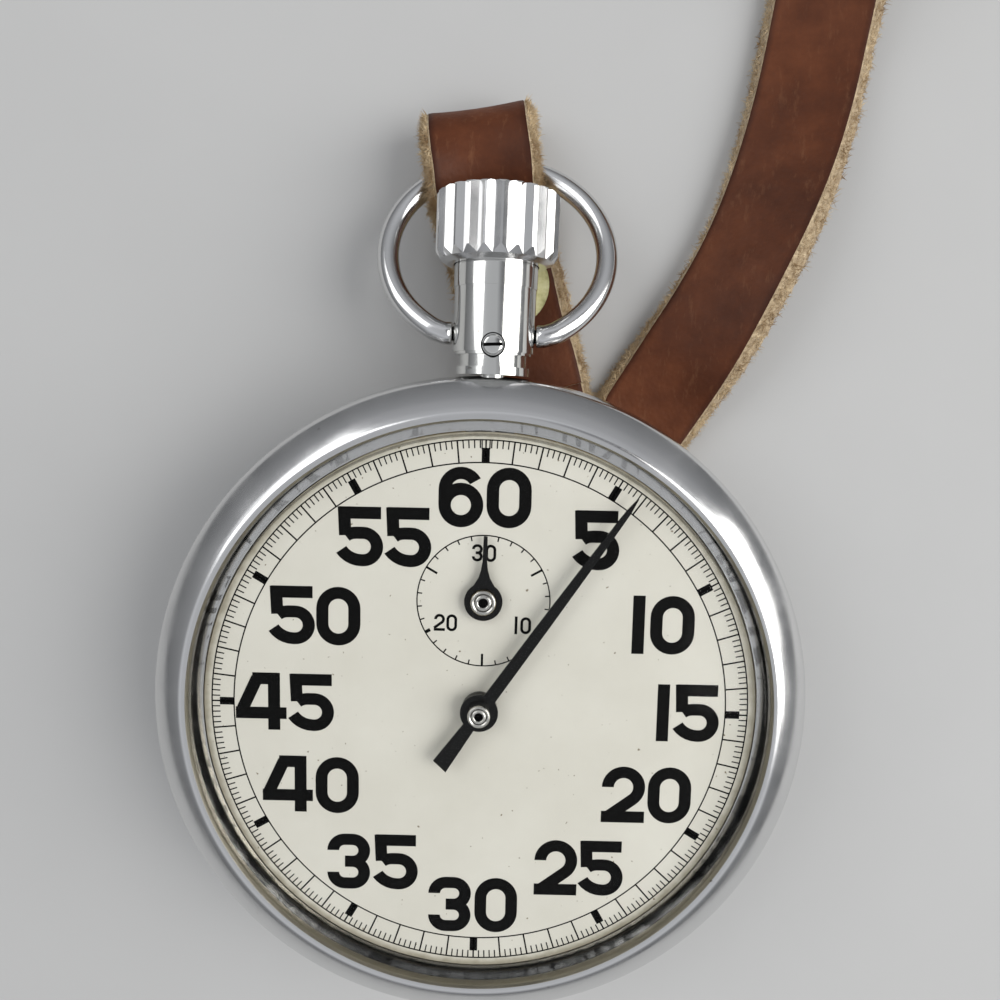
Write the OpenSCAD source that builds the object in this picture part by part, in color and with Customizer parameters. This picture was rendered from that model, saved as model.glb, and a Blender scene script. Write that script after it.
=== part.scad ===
// Mechanical pocket stopwatch with a thirty minute counter, a bow and a leather wrist strap.
// The watch lies on its back: +Z is out of the dial, +Y is towards the crown.
// The origin is the middle of the flat rest on the back, and all sizes are in millimetres.

/* [Case] */
// Largest radius of the case band
case_r = 25.5; // [25.3:0.1:26.5]
// Radius of the flat that the back rests on
rest_r = 10; // [8:0.5:11]
// Height of the seam between the back and the band
seam_z = 7.6; // [7.4:0.1:8.4]
// Wall of the back
back_t = 0.8; // [0.6:0.05:0.9]
// Height of the band between its two seams
band_h = 2.6; // [2.5:0.1:3]
// Height of the bezel above its seam
bezel_h = 2.6; // [2.5:0.1:3]
// Radius of the bezel's opening
bezel_bore_r = 22.1; // [21.9:0.05:22.4]
// Wall of the crystal
crystal_t = 0.9; // [0.7:0.05:1]
// Rise of the crystal's dome above the bezel
crystal_rise = 1.9; // [1.8:0.1:2.5]

/* [Dial and hands] */
// Radius of the dial
dial_r = 21.3; // [21:0.05:21.3]
// Thickness of the dial
dial_t = 0.5; // [0.4:0.05:0.6]
// Distance from the dial's centre to the minute counter's centre
counter_y = 8.5; // [8.3:0.1:8.7]
// Length of the second hand from its centre to its tip
second_hand_l = 20.2; // [18:0.1:20.4]
// Length of the second hand's tail
second_tail_l = 5.3; // [4.5:0.1:6]
// Where the second hand points, in seconds
second_shown = 5.6; // [0:0.2:59.8]
// Length of the minute hand
minute_hand_l = 5; // [4.4:0.1:5]
// Thickness of both hands
hand_t = 0.2; // [0.15:0.01:0.25]

/* [Pendant and crown] */
// Radius of the pendant's neck
neck_r = 3.1; // [2.9:0.05:3.2]
// Distance from the centre to the end of the polished neck
neck_end_y = 32; // [31.9:0.1:32.3]
// Radius of the crown over its flutes
crown_r = 4.63; // [4.3:0.01:4.8]
// Length of the crown
crown_l = 5.2; // [5.1:0.1:5.6]
// Distance from the centre to the crown's lower edge
crown_y = 33.7; // [33.6:0.1:34.2]
// Number of flutes round the crown
flutes = 24; // [16:1:28]
// Depth of a flute
flute_d = 0.34; // [0.3:0.01:0.5]
// How far the crown presses in
press_travel = 1.2; // [0.8:0.1:1.3]
// Radius of the winding stem
stem_r = 0.75; // [0.65:0.01:0.8]

/* [Bow] */
// Radius of the bow's wire
bow_wire_r = 0.85; // [0.75:0.01:0.9]
// Half width of the bow at the middle of its wire
bow_a = 8.62; // [8.4:0.02:9]
// Half height of the bow at the middle of its wire
bow_b = 8.1; // [8:0.02:8.3]
// Distance from the case's centre to the bow's pivots
bow_pivot_y = 28.6; // [28.4:0.05:28.8]
// How far the bow leans down towards the back
bow_tilt = 23; // [22:0.5:24]

/* [Movement] */
// Thickness of the main plate
plate_t = 1.2; // [1:0.05:1.3]
// Clear height between the main plate and the bridges
wheel_room = 3.4; // [3.4:0.05:3.5]
// Thickness of the bridges
bridge_t = 1.3; // [1.1:0.05:1.4]
// Radius of the movement under the bridges
movement_r = 18.6; // [18.2:0.1:18.8]
// Thickness of the train wheels
wheel_t = 0.25; // [0.2:0.01:0.28]
// Radius of the balance wheel
balance_r = 5.6; // [5.2:0.05:5.7]

/* [Strap] */
// Width of the strap
strap_w = 9.2; // [8.6:0.1:9.4]
// Thickness of the strap
strap_t = 1.5; // [1.3:0.05:1.5]

/* [Fits] */
// Radial clearance of what turns or slides in a hole
run_fit = 0.03; // [0.02:0.005:0.05]
// Gap between pieces that pass each other
pass_gap = 0.15; // [0.1:0.01:0.2]

/* [Hidden] */

$fn = 96;
eps = 0.01;

// Heights, from the back to the crystal
bezel_z = seam_z + band_h;
collar_h = 1;
dial_top_z = bezel_z + collar_h;
plate_top_z = dial_top_z - dial_t;
plate_z = plate_top_z - plate_t;
bridge_top_z = plate_z - wheel_room;
bridge_z = bridge_top_z - bridge_t;
stem_z = seam_z + band_h / 2;

// Case sections
band_top_r = case_r - 0.2;
back_rim_r = case_r - 0.9;
snap_r = back_rim_r - 0.9;
ledge_r = 20;
pocket_r = dial_r + 0.1;
collar_r = case_r - 1.75;
dome_r = 22;

// Pendant
pendant_base_y = case_r + 0.02;
spigot_r = 1;
groove_y = pendant_base_y + 0.6;
shoulder_y = groove_y + 0.9;
tube_r = neck_r + 0.07;
tube_end_y = crown_y + 2.6;
spring_seat_y = neck_end_y + 0.3;
sleeve_r = 1.6;
sleeve_y = 28.5;
sleeve_l = 3;
stem_collar_l = 0.4;
crown_floor_y = crown_y + crown_l - 1.25;
stem_end_y = 13.9;
screw_y = shoulder_y + 0.65;

// Bow, an oval of four arcs that meet at forty five degrees
bow_e = (bow_a - bow_b) / (2 - sqrt(2));
bow_side_r = bow_a - bow_e;
bow_end_r = bow_side_r + bow_e * sqrt(2);
bow_foot_x = neck_r + bow_wire_r + 0.1;
bow_foot_y = bow_e - sqrt(pow(bow_end_r, 2) - pow(bow_foot_x, 2));
bow_foot_a = acos(bow_foot_x / bow_end_r);
bow_pin_r = 0.55;

// Places of the arbors, seen from the dial
barrel_p = [-10.2, 6.6];
barrel_teeth = 80;
barrel_m = 0.17;
second_teeth = 60;
third_teeth = 60;
seconds_teeth = 80;
train_leaves = 10;
centre_leaves = 12;
escape_leaves = 8;
function polar(r, a) = [r * cos(a), r * sin(a)];
function heading(p, q) = atan2(q[1] - p[1], q[0] - p[0]);
barrel_pitch_r = barrel_teeth * barrel_m / 2;
second_p = barrel_p + polar((barrel_teeth + train_leaves) * barrel_m / 2, -72);
third_p = polar(6, -125);
second_m = 2 * norm(third_p - second_p) / (second_teeth + train_leaves);
third_m = 2 * norm(third_p) / (third_teeth + centre_leaves);
escape_p = polar(5.5, -20);
seconds_m = 2 * norm(escape_p) / (seconds_teeth + escape_leaves);
balance_p = [9.6, -8];
pallet_p = escape_p + (balance_p - escape_p) * 0.49;
escape_r = 3.2;
minute_p = [0, counter_y];
transfer_leaves = 8;
transfer_teeth = 48;
minute_teeth = 40;
transfer_m = 0.16;
minute_m = 0.19;
transfer_d = (transfer_teeth + transfer_leaves) * transfer_m / 2;
minute_d = (minute_teeth + transfer_leaves) * minute_m / 2;
transfer_y = (pow(transfer_d, 2) - pow(minute_d, 2) + pow(counter_y, 2)) / (2 * counter_y);
transfer_p = [sqrt(pow(transfer_d, 2) - pow(transfer_y, 2)), transfer_y];

// Winding
wind_m = 0.23;
ratchet_teeth = 50;
crown_wheel_teeth = 30;
idler_teeth = 18;
crown_wheel_p = [0, 14.3];
to_ratchet = heading(crown_wheel_p, barrel_p);
idler_d = (crown_wheel_teeth + idler_teeth) * wind_m / 2;
idler_reach = (idler_teeth + ratchet_teeth) * wind_m / 2;
wheel_gap = norm(barrel_p - crown_wheel_p);
idler_bend = acos((pow(idler_d, 2) + pow(wheel_gap, 2) - pow(idler_reach, 2)) / (2 * idler_d * wheel_gap));
idler_p = crown_wheel_p + polar(idler_d, to_ratchet - idler_bend);
face_teeth = 29;
face_r = 2.9;
pinion_teeth = 14;
pinion_m = 0.2;
pinion_l = 1.6;
pinion_y = crown_wheel_p[1] + face_r - pinion_l / 2;
ratchet_z = bridge_z - 0.7;
ratchet_t = 0.6;

// Levels of the train above the bridges
barrel_z = bridge_top_z + 0.15;
barrel_h = 2;
barrel_rim_h = 0.55;
seconds_z = bridge_top_z + 0.9;
third_z = bridge_top_z + 1.7;
escape_z = bridge_top_z + 2.15;
minute_z = bridge_top_z + 2.3;
second_z = bridge_top_z + 2.6;
transfer_z = bridge_top_z + 2.95;
balance_z = bridge_top_z + 0.4;
balance_h = 0.8;
pallet_bridge_z = bridge_top_z + 1.4;
pallet_bridge_t = 0.4;
leaf_h = 0.5;

// Pivots, pillars and screws
pivot_r = 0.2;
arbor_r = 0.35;
pivot_depth = 0.7;
jewel_r = 0.7;
jewel_t = 0.35;
pillar_r = 1.3;
screw_r = 0.45;
screw_head_r = 0.9;
screw_head_h = 0.45;
barrel_pillars = [[-16.6, 0.2], [5.7, 9.6], [12.5, 8.6]];
train_pillars = [[-14.2, -8.6], [-3, -15.5], [9.5, 1.15]];
cock_foot = [4.6, -14.2];
pallet_foot = [12.4, -4.4];
case_screw_a = [30, 150, 270];
case_screw_r = 20.6;

// Chronograph works on the back of the bridges
works_z = bridge_z - 1.3;
works_t = 0.6;
heart_min_r = 0.8;
heart_max_r = 2;
hammer_p = [1.8, -12.2];
brake_p = [13.6, 3.4];
brake_tip = [14.9, -4.2];
column_p = [8.2, 5.9];
lever_p = [6.4, 14.6];
lever_z = plate_z - 0.7;
lever_t = 0.55;
click_p = [-11.6, -1.7];

// Hands
hand_hub_r = 1.45;
second_hand_z = dial_top_z + 1;
minute_hand_z = dial_top_z + 0.45;
hand_pipe_h = 0.35;
second_angle = 90 - second_shown * 6;

// Strap: x, y, z of its middle line, then the plan angle, the lean and the bow of its width
loop_route = [
    [3.75, 24.4, 2.33, 17, 0, 0],
    [2.9, 27.2, 2.33, 17, 0, 0],
    [1.8, 30, 2.33, 17, 0, 0],
    [0.9, 33.2, 2.33, 17, 0, 0],
    [-0.1, 36.4, 2.33, 16, 0, 0.005],
    [-0.8, 38.5, 2.36, 14, 0, 0.04],
    [-1.1, 39.6, 2.48, 12, 0, 0.06],
    [-1.3, 40.3, 2.75, 10, 0, 0.08],
    [-1.3, 40.68, 3.3, 8, 0, 0.085],
    [-1.3, 41.02, 3.9, 8, 0, 0.08],
    [-1.4, 41.52, 4.6, 8, 0, 0.07],
    [-1.5, 42.35, 4.95, 8, 0, 0.06],
    [-1.7, 43.4, 5, 9, 0, 0.055],
    [-1.9, 44.65, 4.85, 10, 0, 0.03],
    [-2, 45.6, 4.3, 10, 0, 0.02],
    [-2.1, 46.2, 3.4, 10, 0, 0.01],
    [-2.1, 46.2, 2.4, 10, 0, 0.005],
    [-2, 45.7, 1.5, 10, 0, 0],
    [-1.9, 44.8, 0.95, 11, 0, 0],
    [-1.7, 43.4, 0.78, 12, 0, 0],
    [-1.2, 41, 0.77, 14, 0, 0],
    [0, 37.2, 0.77, 16, 0, 0],
    [1.4, 32.8, 0.77, 17, 0, 0],
    [2.6, 28.6, 0.77, 17, 0, 0]
];
lead_route = [
    [2.6, 28.6, 0.77, 17, 0, 0],
    [3.5, 25.6, 0.77, 17, 0, 0],
    [4.3, 22.9, 0.77, 20, 0, 0],
    [5.3, 20.9, 0.77, 46, 0, 0],
    [6.9, 19.7, 0.77, 70, 0, 0],
    [8.8, 19.3, 0.77, 91, 0, 0],
    [10.7, 19.8, 0.77, 112, 0, 0],
    [12.2, 21.1, 0.77, 134, 0, 0],
    [13.3, 22.9, 0.8, 148, -3, 0],
    [14.9, 25.6, 1.3, 149, -7, 0],
    [16.6, 28.6, 2.3, 150, -18, 0],
    [18.3, 31.8, 3, 153, -28, 0],
    [20.2, 35.8, 3.3, 156, -33, 0],
    [21.9, 40, 3.2, 160, -31, 0],
    [23.3, 44.4, 2.8, 163, -25, 0],
    [24.4, 49, 2.3, 167, -19, 0],
    [25.2, 53.8, 2, 171, -16, 0],
    [25.7, 58.6, 2.7, 175, -25, 0],
    [25.9, 63, 3.8, 179, -45, 0],
    [25.8, 67, 4.5, 182, -70, 0],
    [25.5, 71, 4.7, 184, -90, 0],
    [25, 75, 4.7, 190, -90, 0],
    [23.4, 79.6, 4.7, 206, -90, 0],
    [20.6, 84, 4.7, 212, -90, 0],
    [17.8, 89, 4.7, 206, -90, 0],
    [16.6, 94.6, 4.7, 184, -90, 0],
    [18, 100.4, 4.7, 158, -90, 0],
    [22, 105, 4.7, 122, -90, 0],
    [28, 107, 4.7, 92, -90, 0],
    [34, 105, 4.7, 58, -90, 0],
    [38, 100.4, 4.7, 22, -90, 0],
    [39.4, 94.6, 4.7, -4, -90, 0],
    [38.2, 89, 4.7, -26, -90, 0],
    [34.6, 84, 4.7, -40, -90, 0],
    [30.6, 79.6, 4.7, -36, -90, 0],
    [27.7, 75, 4.7, -16, -90, 0],
    [27.3, 71, 4.7, -4, -90, 0],
    [27.4, 68.6, 4.7, 0, -90, 0]
];
stud_p = [0.9, 33.2];
stud_r = 3.4;
stud_z = 3.1;
stud_t = 0.5;
rivet_p = [26.45, 72.2, 4.7];

// Shapes shared by several pieces

module post(p, z0, z1, r) {
    translate([p[0], p[1], z0]) cylinder(h = z1 - z0, r = r, $fn = 48);
}

module plan(z, h) {
    translate([0, 0, z]) linear_extrude(h) children();
}

module at(p, a = 0) {
    translate([p[0], p[1]]) rotate(a) children();
}

// A bar with round ends
module bar(p, q, r0, r1) {
    l = norm(q - p);
    at(p, heading(p, q)) polygon([[0, -r0], [l, -r1], [l, r1], [0, r0]]);
    at(p) circle(r0, $fn = 40);
    at(q) circle(r1, $fn = 40);
}

module along_y(y0, y1, r) {
    translate([0, y0, stem_z]) rotate([-90, 0, 0]) cylinder(h = y1 - y0, r = r, $fn = 64);
}

// A toothed disc: one tooth is centred on the phase angle
tip_part = 0.2;
root_part = 0.46;
addendum = 0.8;
dedendum = 1.1;
module teeth(n, m, phase = 0) {
    step = 360 / n;
    tip_r = n * m / 2 + addendum * m;
    root_r = n * m / 2 - dedendum * m;
    polygon([for (i = [0:n - 1],
            k = [[root_r, -root_part], [tip_r, -tip_part], [tip_r, tip_part], [root_r, root_part]])
        polar(k[0], phase + (i + k[1] / 2) * step)]);
}

// Phase that puts a gap of the driven gear on a tooth of the driver
function mesh_phase(p, q, n, driven, phase) =
    heading(p, q) + 180 + ((heading(p, q) - phase) * n + 180) / driven;

// A train wheel's plan, with four arms
module spoked(p, n, m, phase, hub_r) {
    rim_r = n * m / 2 - 2.6 * m;
    difference() {
        at(p) teeth(n, m, phase);
        for (a = [0:90:270]) at(p, a + 45) intersection() {
            difference() {
                circle(rim_r);
                circle(hub_r + 0.5);
            }
            polygon([[0.45, 0.45], [0.45, rim_r * 2], [rim_r * 2, rim_r * 2], [rim_r * 2, 0.45]]);
        }
        at(p) circle(hub_r, $fn = 40);
    }
}

// An arbor with thin pivots in the main plate and in a bridge
module arbor(p, z0, z1) {
    post(p, z0, z1, arbor_r);
    post(p, z0 - pivot_depth, z0 + eps, pivot_r);
    post(p, z1 - eps, z1 + pivot_depth, pivot_r);
}

module pivot_hole(p, z0, z1) {
    post(p, z0 - eps, z1 + eps, pivot_r + run_fit);
}

module slotted_head(p, z, r, h) {
    slot = r * 0.32;
    difference() {
        post(p, z - h, z, r);
        translate([p[0] - r * 2, p[1] - slot / 2, z - h - eps]) cube([r * 4, slot, h * 0.5]);
    }
}

// Case

// Outer curve of the back from the flat rest to its rim
dome_curve = 40;
function dome_height(r, rest) = sqrt(pow(dome_curve, 2) - rest * rest) - sqrt(pow(dome_curve, 2) - r * r);
dome_steps = 14;
corner_steps = 8;
function corner(r0, z0, r1, z1, lean) = [for (i = [1:corner_steps]) let (a = 90 * i / corner_steps)
    [r0 + (r1 - r0) * (lean * sin(a) + (1 - lean) * i / corner_steps),
     z0 + (z1 - z0) * (lean * (1 - cos(a)) + (1 - lean) * i / corner_steps)]];

module back_section(shrink) {
    rim = back_rim_r - shrink;
    top = seam_z + (shrink > 0 ? eps : 0);
    edge = dome_r - shrink / 2;
    polygon(concat(
        [[0, shrink], [rest_r, shrink]],
        [for (i = [1:dome_steps]) let (r = rest_r + (edge - rest_r) * i / dome_steps)
            [r, dome_height(r, rest_r) + shrink]],
        corner(edge, dome_height(edge, rest_r) + shrink, rim, top, 0.45),
        [[0, top]]
    ));
}

module case_back() {
    color("gainsboro") rotate_extrude() difference() {
        back_section(0);
        back_section(back_t);
        translate([0, seam_z - 0.8]) square([snap_r, 1]);
    }
}

module band_section() {
    polygon([
        [ledge_r, seam_z - 0.7], [snap_r - run_fit, seam_z - 0.7], [snap_r - run_fit, seam_z],
        [back_rim_r, seam_z], [case_r - 0.42, seam_z + 0.16],
        [case_r, stem_z - 0.3], [case_r, stem_z + 0.3],
        [band_top_r, bezel_z - 0.15], [band_top_r - 0.12, bezel_z],
        [collar_r - run_fit, bezel_z], [collar_r - run_fit, dial_top_z],
        [pocket_r, dial_top_z], [pocket_r, plate_z], [ledge_r, plate_z]
    ]);
}

stem_slot = 1.25;
module case_band() {
    color("silver") difference() {
        rotate_extrude() band_section();
        along_y(pocket_r, case_r + 1, spigot_r);
        translate([-stem_slot, ledge_r - 1, stem_z - stem_slot])
            cube([stem_slot * 2, pocket_r - ledge_r + 1.6, stem_slot * 2]);
        for (a = case_screw_a) post(polar(case_screw_r, a), plate_z - 1, plate_z + 0.5, 0.3);
    }
}

module bezel() {
    lip_z = dial_top_z + 0.7;
    top = bezel_z + bezel_h;
    color("silver") rotate_extrude() polygon([
        [collar_r, bezel_z], [band_top_r - 0.1, bezel_z], [band_top_r, bezel_z + 0.15],
        [band_top_r + 0.02, bezel_z + 0.5], [band_top_r - 0.1, bezel_z + 0.95],
        [band_top_r - 0.35, bezel_z + 1.45], [band_top_r - 0.75, bezel_z + 1.95],
        [band_top_r - 1.25, bezel_z + 2.37], [band_top_r - 1.8, bezel_z + 2.7],
        [band_top_r - 2.25, top - 0.05],
        [bezel_bore_r + 0.45, top], [bezel_bore_r + 0.15, top - 0.1],
        [bezel_bore_r, top - 0.35], [bezel_bore_r, lip_z], [bezel_bore_r + 0.75, lip_z],
        [bezel_bore_r + 0.75, dial_top_z], [collar_r, dial_top_z]
    ]);
}

// The dome's height over the bezel, from its rim to the centre
crystal_flat_r = bezel_bore_r - 0.75;
crystal_steps = 12;
crystal_top_z = bezel_z + bezel_h + crystal_rise;
function crystal_curve(drop, r0) = [for (i = [0:crystal_steps]) let (t = i / crystal_steps)
    [r0 * (1 - t), crystal_top_z - drop - 1.25 * pow(1 - t, 3)]];

module crystal() {
    lip_z = dial_top_z + 0.7;
    out_r = bezel_bore_r - 0.03;
    color("lightcyan", 0.4) rotate_extrude() polygon(concat(
        [[pocket_r + 0.1, dial_top_z], [bezel_bore_r + 0.72, dial_top_z], [bezel_bore_r + 0.72, lip_z],
         [out_r, lip_z], [out_r, bezel_z + bezel_h - 0.35]],
        crystal_curve(0, crystal_flat_r),
        [for (i = [crystal_steps:-1:0]) crystal_curve(crystal_t, crystal_flat_r - 0.35)[i]],
        [[pocket_r - 0.2, bezel_z + bezel_h - 0.75], [pocket_r - 0.2, lip_z], [pocket_r + 0.1, lip_z - 0.1]]
    ));
}

// Pendant, crown and bow

module pendant_neck() {
    color("silver") difference() {
        union() {
            along_y(snap_r - 1.5, pendant_base_y + eps, spigot_r);
            along_y(pendant_base_y, groove_y, neck_r - 0.25);
            along_y(groove_y - eps, shoulder_y + eps, neck_r - 0.5);
            along_y(shoulder_y, shoulder_y + 0.25, neck_r - 0.15);
            along_y(shoulder_y + 0.2, neck_end_y + eps, neck_r);
            along_y(neck_end_y, tube_end_y, tube_r);
        }
        along_y(snap_r - 3, tube_end_y + 1, stem_r + 0.1);
        along_y(sleeve_y - press_travel - stem_collar_l - 0.4, spring_seat_y + eps, sleeve_r + run_fit);
        along_y(spring_seat_y, tube_end_y + 1, sleeve_r + 0.7);
        translate([-neck_r - 1, bow_pivot_y, stem_z]) rotate([0, 90, 0])
            cylinder(h = neck_r * 2 + 2, r = bow_pin_r + run_fit, $fn = 40);
        translate([0, screw_y, stem_z + neck_r - 0.55]) cylinder(h = 2, r = 0.8 + run_fit, $fn = 40);
        translate([0, screw_y, stem_z + sleeve_r]) cylinder(h = 3, r = screw_r, $fn = 40);
    }
}

module pendant_screw() {
    z = stem_z + neck_r - 0.55;
    color("gainsboro") difference() {
        union() {
            translate([0, screw_y, z]) cylinder(h = 0.6, r = 0.8, $fn = 40);
            translate([0, screw_y, z - 0.6]) cylinder(h = 0.7, r = screw_r, $fn = 40);
        }
        translate([-1, screw_y - 0.12, z + 0.3]) cube([2, 0.24, 1]);
    }
}

// The bow from its right pin over the top to its left pin: x, y, outward angle, radius
function bow_arc(centre, r, a0, a1, n) = [for (i = [0:n - 1]) let (a = a0 + (a1 - a0) * i / n)
    [centre[0] + r * cos(a), centre[1] + r * sin(a), a, bow_wire_r]];
bow_sides = 24;
pin_end_x = neck_r - 1.1;
cheek_x = neck_r + 0.1;
bow_half = concat(
    [
        [pin_end_x, bow_foot_y, -90, bow_pin_r],
        [cheek_x, bow_foot_y, -90, bow_pin_r],
        [cheek_x, bow_foot_y, -90, bow_wire_r],
        [bow_foot_x - 0.3, bow_foot_y, -84, bow_wire_r]
    ],
    bow_arc([0, bow_e], bow_end_r, 4 - bow_foot_a, -45, 3),
    bow_arc([bow_e, 0], bow_side_r, -45, 45, 14),
    bow_arc([0, -bow_e], bow_end_r, 45, 90, 8)
);
bow_last = len(bow_half) - 1;
bow_line = concat(bow_half, [[0, bow_b, 90, bow_wire_r]],
    [for (i = [bow_last:-1:0]) [-bow_half[i][0], bow_half[i][1], 180 - bow_half[i][2], bow_half[i][3]]]);

module bow() {
    color("silver") translate([0, bow_pivot_y, stem_z]) rotate([-bow_tilt, 0, 0])
        translate([0, -bow_foot_y, 0])
        polyhedron([for (v = bow_line, k = [0:bow_sides - 1]) let (
            b = 360 * k / bow_sides,
            out = v[3] * cos(b))
            [v[0] + out * cos(v[2]), v[1] + out * sin(v[2]), v[3] * sin(b)]],
            tube_faces(len(bow_line), bow_sides));
}

module crown() {
    step = 360 / flutes;
    color("silver") difference() {
        intersection() {
            translate([0, crown_y, stem_z]) rotate([-90, 0, 0]) linear_extrude(crown_l)
                polygon([for (i = [0:flutes - 1],
                        k = [[crown_r, 0.2], [crown_r, 0.34], [crown_r - flute_d, 0.77]])
                    polar(k[0], (i + k[1]) * step)]);
            translate([0, crown_y, stem_z]) rotate([-90, 0, 0]) rotate_extrude() polygon([
                [0, 0], [crown_r - 0.85, 0], [crown_r - 0.35, 0.3], [crown_r + 0.1, 1],
                [crown_r + 0.1, crown_l - 0.25], [crown_r - 0.15, crown_l], [0, crown_l]
            ]);
        }
        along_y(crown_y - 1, crown_floor_y, tube_r + 0.07);
        along_y(crown_floor_y - 1, crown_floor_y + 1, stem_r);
    }
}

module winding_stem() {
    color("lightsteelblue") {
        along_y(stem_end_y, crown_floor_y + 1, stem_r);
        along_y(sleeve_y - 0.05 - stem_collar_l, sleeve_y - 0.05, stem_r + 0.45);
        along_y(sleeve_y + sleeve_l + 0.05, sleeve_y + sleeve_l + 0.05 + stem_collar_l, stem_r + 0.45);
    }
}

module stem_sleeve() {
    color("goldenrod") difference() {
        along_y(sleeve_y, sleeve_y + sleeve_l, sleeve_r);
        along_y(sleeve_y - 1, sleeve_y + sleeve_l + 1, stem_r + run_fit);
    }
}

// The return spring is one wire that winds round the stem between the neck and the crown
coil_turns = 6;
coil_rings = 8;
coil_wire_r = 0.18;
coil_r = sleeve_r + 0.25;
coil_sides = 6;
module crown_spring() {
    y0 = spring_seat_y + coil_wire_r + 0.05;
    y1 = crown_floor_y - coil_wire_r - 0.05;
    n = coil_turns * coil_rings;
    points = [for (i = [0:n], k = [0:coil_sides - 1]) let (
        a = 360 * i / coil_rings,
        b = 360 * k / coil_sides,
        r = coil_r + coil_wire_r * cos(b))
        [r * sin(a), y0 + (y1 - y0) * i / n + coil_wire_r * sin(b), stem_z + r * cos(a)]];
    color("slategray") polyhedron(points, tube_faces(n + 1, coil_sides));
}

// Triangles of a tube of rings, closed at both ends
function tube_faces(rings, sides) = concat(
    [for (i = [0:rings - 2], k = [0:sides - 1]) let (a = i * sides + k, b = i * sides + (k + 1) % sides)
        [a, b, b + sides]],
    [for (i = [0:rings - 2], k = [0:sides - 1]) let (a = i * sides + k, b = i * sides + (k + 1) % sides)
        [a, b + sides, a + sides]],
    [for (k = [1:sides - 2]) [0, k + 1, k]],
    [for (k = [1:sides - 2]) let (o = (rings - 1) * sides) [o, o + k, o + k + 1]]
);

// Dial and hands

module dial() {
    color("ivory") {
        difference() {
            plan(plate_top_z, dial_t) circle(dial_r);
            post([0, 0], 0, dial_top_z + 1, arbor_r + 0.3);
            post(minute_p, 0, dial_top_z + 1, arbor_r + 0.3);
        }
        for (a = foot_a) post(polar(foot_r, a), plate_top_z - foot_l, plate_top_z + eps, dial_foot_r);
    }
}
foot_a = [75, 255];
foot_r = 19.2;
foot_l = 0.9;
dial_foot_r = 0.4;

module second_hand() {
    color("black") {
        translate([0, 0, second_hand_z]) linear_extrude(hand_t) rotate(second_angle) difference() {
            union() {
                polygon([[0, -0.5], [second_hand_l * 0.42, -0.42], [second_hand_l * 0.68, -0.34],
                    [second_hand_l - 1.2, -0.2], [second_hand_l, -0.04], [second_hand_l, 0.04],
                    [second_hand_l - 1.2, 0.2], [second_hand_l * 0.68, 0.34],
                    [second_hand_l * 0.42, 0.42], [0, 0.5]]);
                polygon([[0, 0.4], [-second_tail_l + 0.2, 0.65], [-second_tail_l, -0.65], [0, -0.4]]);
                circle(hand_hub_r, $fn = 60);
            }
            circle(arbor_r, $fn = 40);
        }
        difference() {
            post([0, 0], dial_top_z + 0.15, second_hand_z + eps, 1.1);
            post([0, 0], 0, second_hand_z + 1, arbor_r);
        }
    }
}

module minute_hand() {
    color("black") {
        translate([minute_p[0], minute_p[1], minute_hand_z]) linear_extrude(hand_t) difference() {
            union() {
                polygon([[-1.2, 0.6], [-0.68, 1.4], [-0.43, 1.85], [-0.27, 2.4], [-0.17, 3.1],
                    [-0.15, minute_hand_l - 0.05], [-0.1, minute_hand_l], [0.1, minute_hand_l],
                    [0.15, minute_hand_l - 0.05], [0.17, 3.1], [0.27, 2.4], [0.43, 1.85],
                    [0.68, 1.4], [1.2, 0.6]]);
                circle(hand_hub_r, $fn = 60);
            }
            circle(arbor_r, $fn = 40);
        }
        difference() {
            post(minute_p, dial_top_z + 0.1, minute_hand_z + eps, 0.8);
            post(minute_p, 0, minute_hand_z + 1, arbor_r);
        }
    }
}

// Plates and bridges

split_y = 2.6;
train_arbors = [second_p, third_p, escape_p];

// A screw's way through a bridge and its pillar into the main plate
module screw_way(p, z) {
    post(p, z - eps, z + screw_head_h, screw_head_r);
    post(p, z - eps, plate_z + 0.9, screw_r);
}

module jewel_seat(p) {
    post(p, bridge_z - eps, bridge_top_z - pivot_depth + jewel_t, jewel_r);
    pivot_hole(p, bridge_z, bridge_top_z);
}

module barrel_bridge_plan(grow) {
    offset_y = split_y - grow;
    translate([-movement_r - 1, offset_y]) square([movement_r * 2 + 2, movement_r + 2]);
    bar(barrel_pillars[0], barrel_pillars[0] + [-0.4, 5], pillar_r + 1 + grow, pillar_r + 1 + grow);
}

module pillars(list) {
    for (p = list) post(p, bridge_top_z - eps, plate_z, pillar_r);
}

module barrel_bridge() {
    color("burlywood") difference() {
        union() {
            plan(bridge_z, bridge_t) intersection() {
                circle(movement_r);
                barrel_bridge_plan(0);
            }
            pillars(barrel_pillars);
        }
        for (p = barrel_pillars) screw_way(p, bridge_z);
        post(barrel_p, bridge_z - 1, bridge_top_z + 1, 1.1 + run_fit);
        post(crown_wheel_p, bridge_z - 1, bridge_top_z + 1, 0.7 + run_fit);
        post(idler_p, bridge_z - 1, bridge_top_z + 1, screw_r);
        post(column_p, bridge_z - 1, bridge_top_z + 1, 0.5 + run_fit);
        post(brake_p, bridge_z - 1, bridge_top_z + 1, screw_r);
        post(minute_p, bridge_z - 1, bridge_top_z + 1, arbor_r + run_fit);
    }
}

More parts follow.
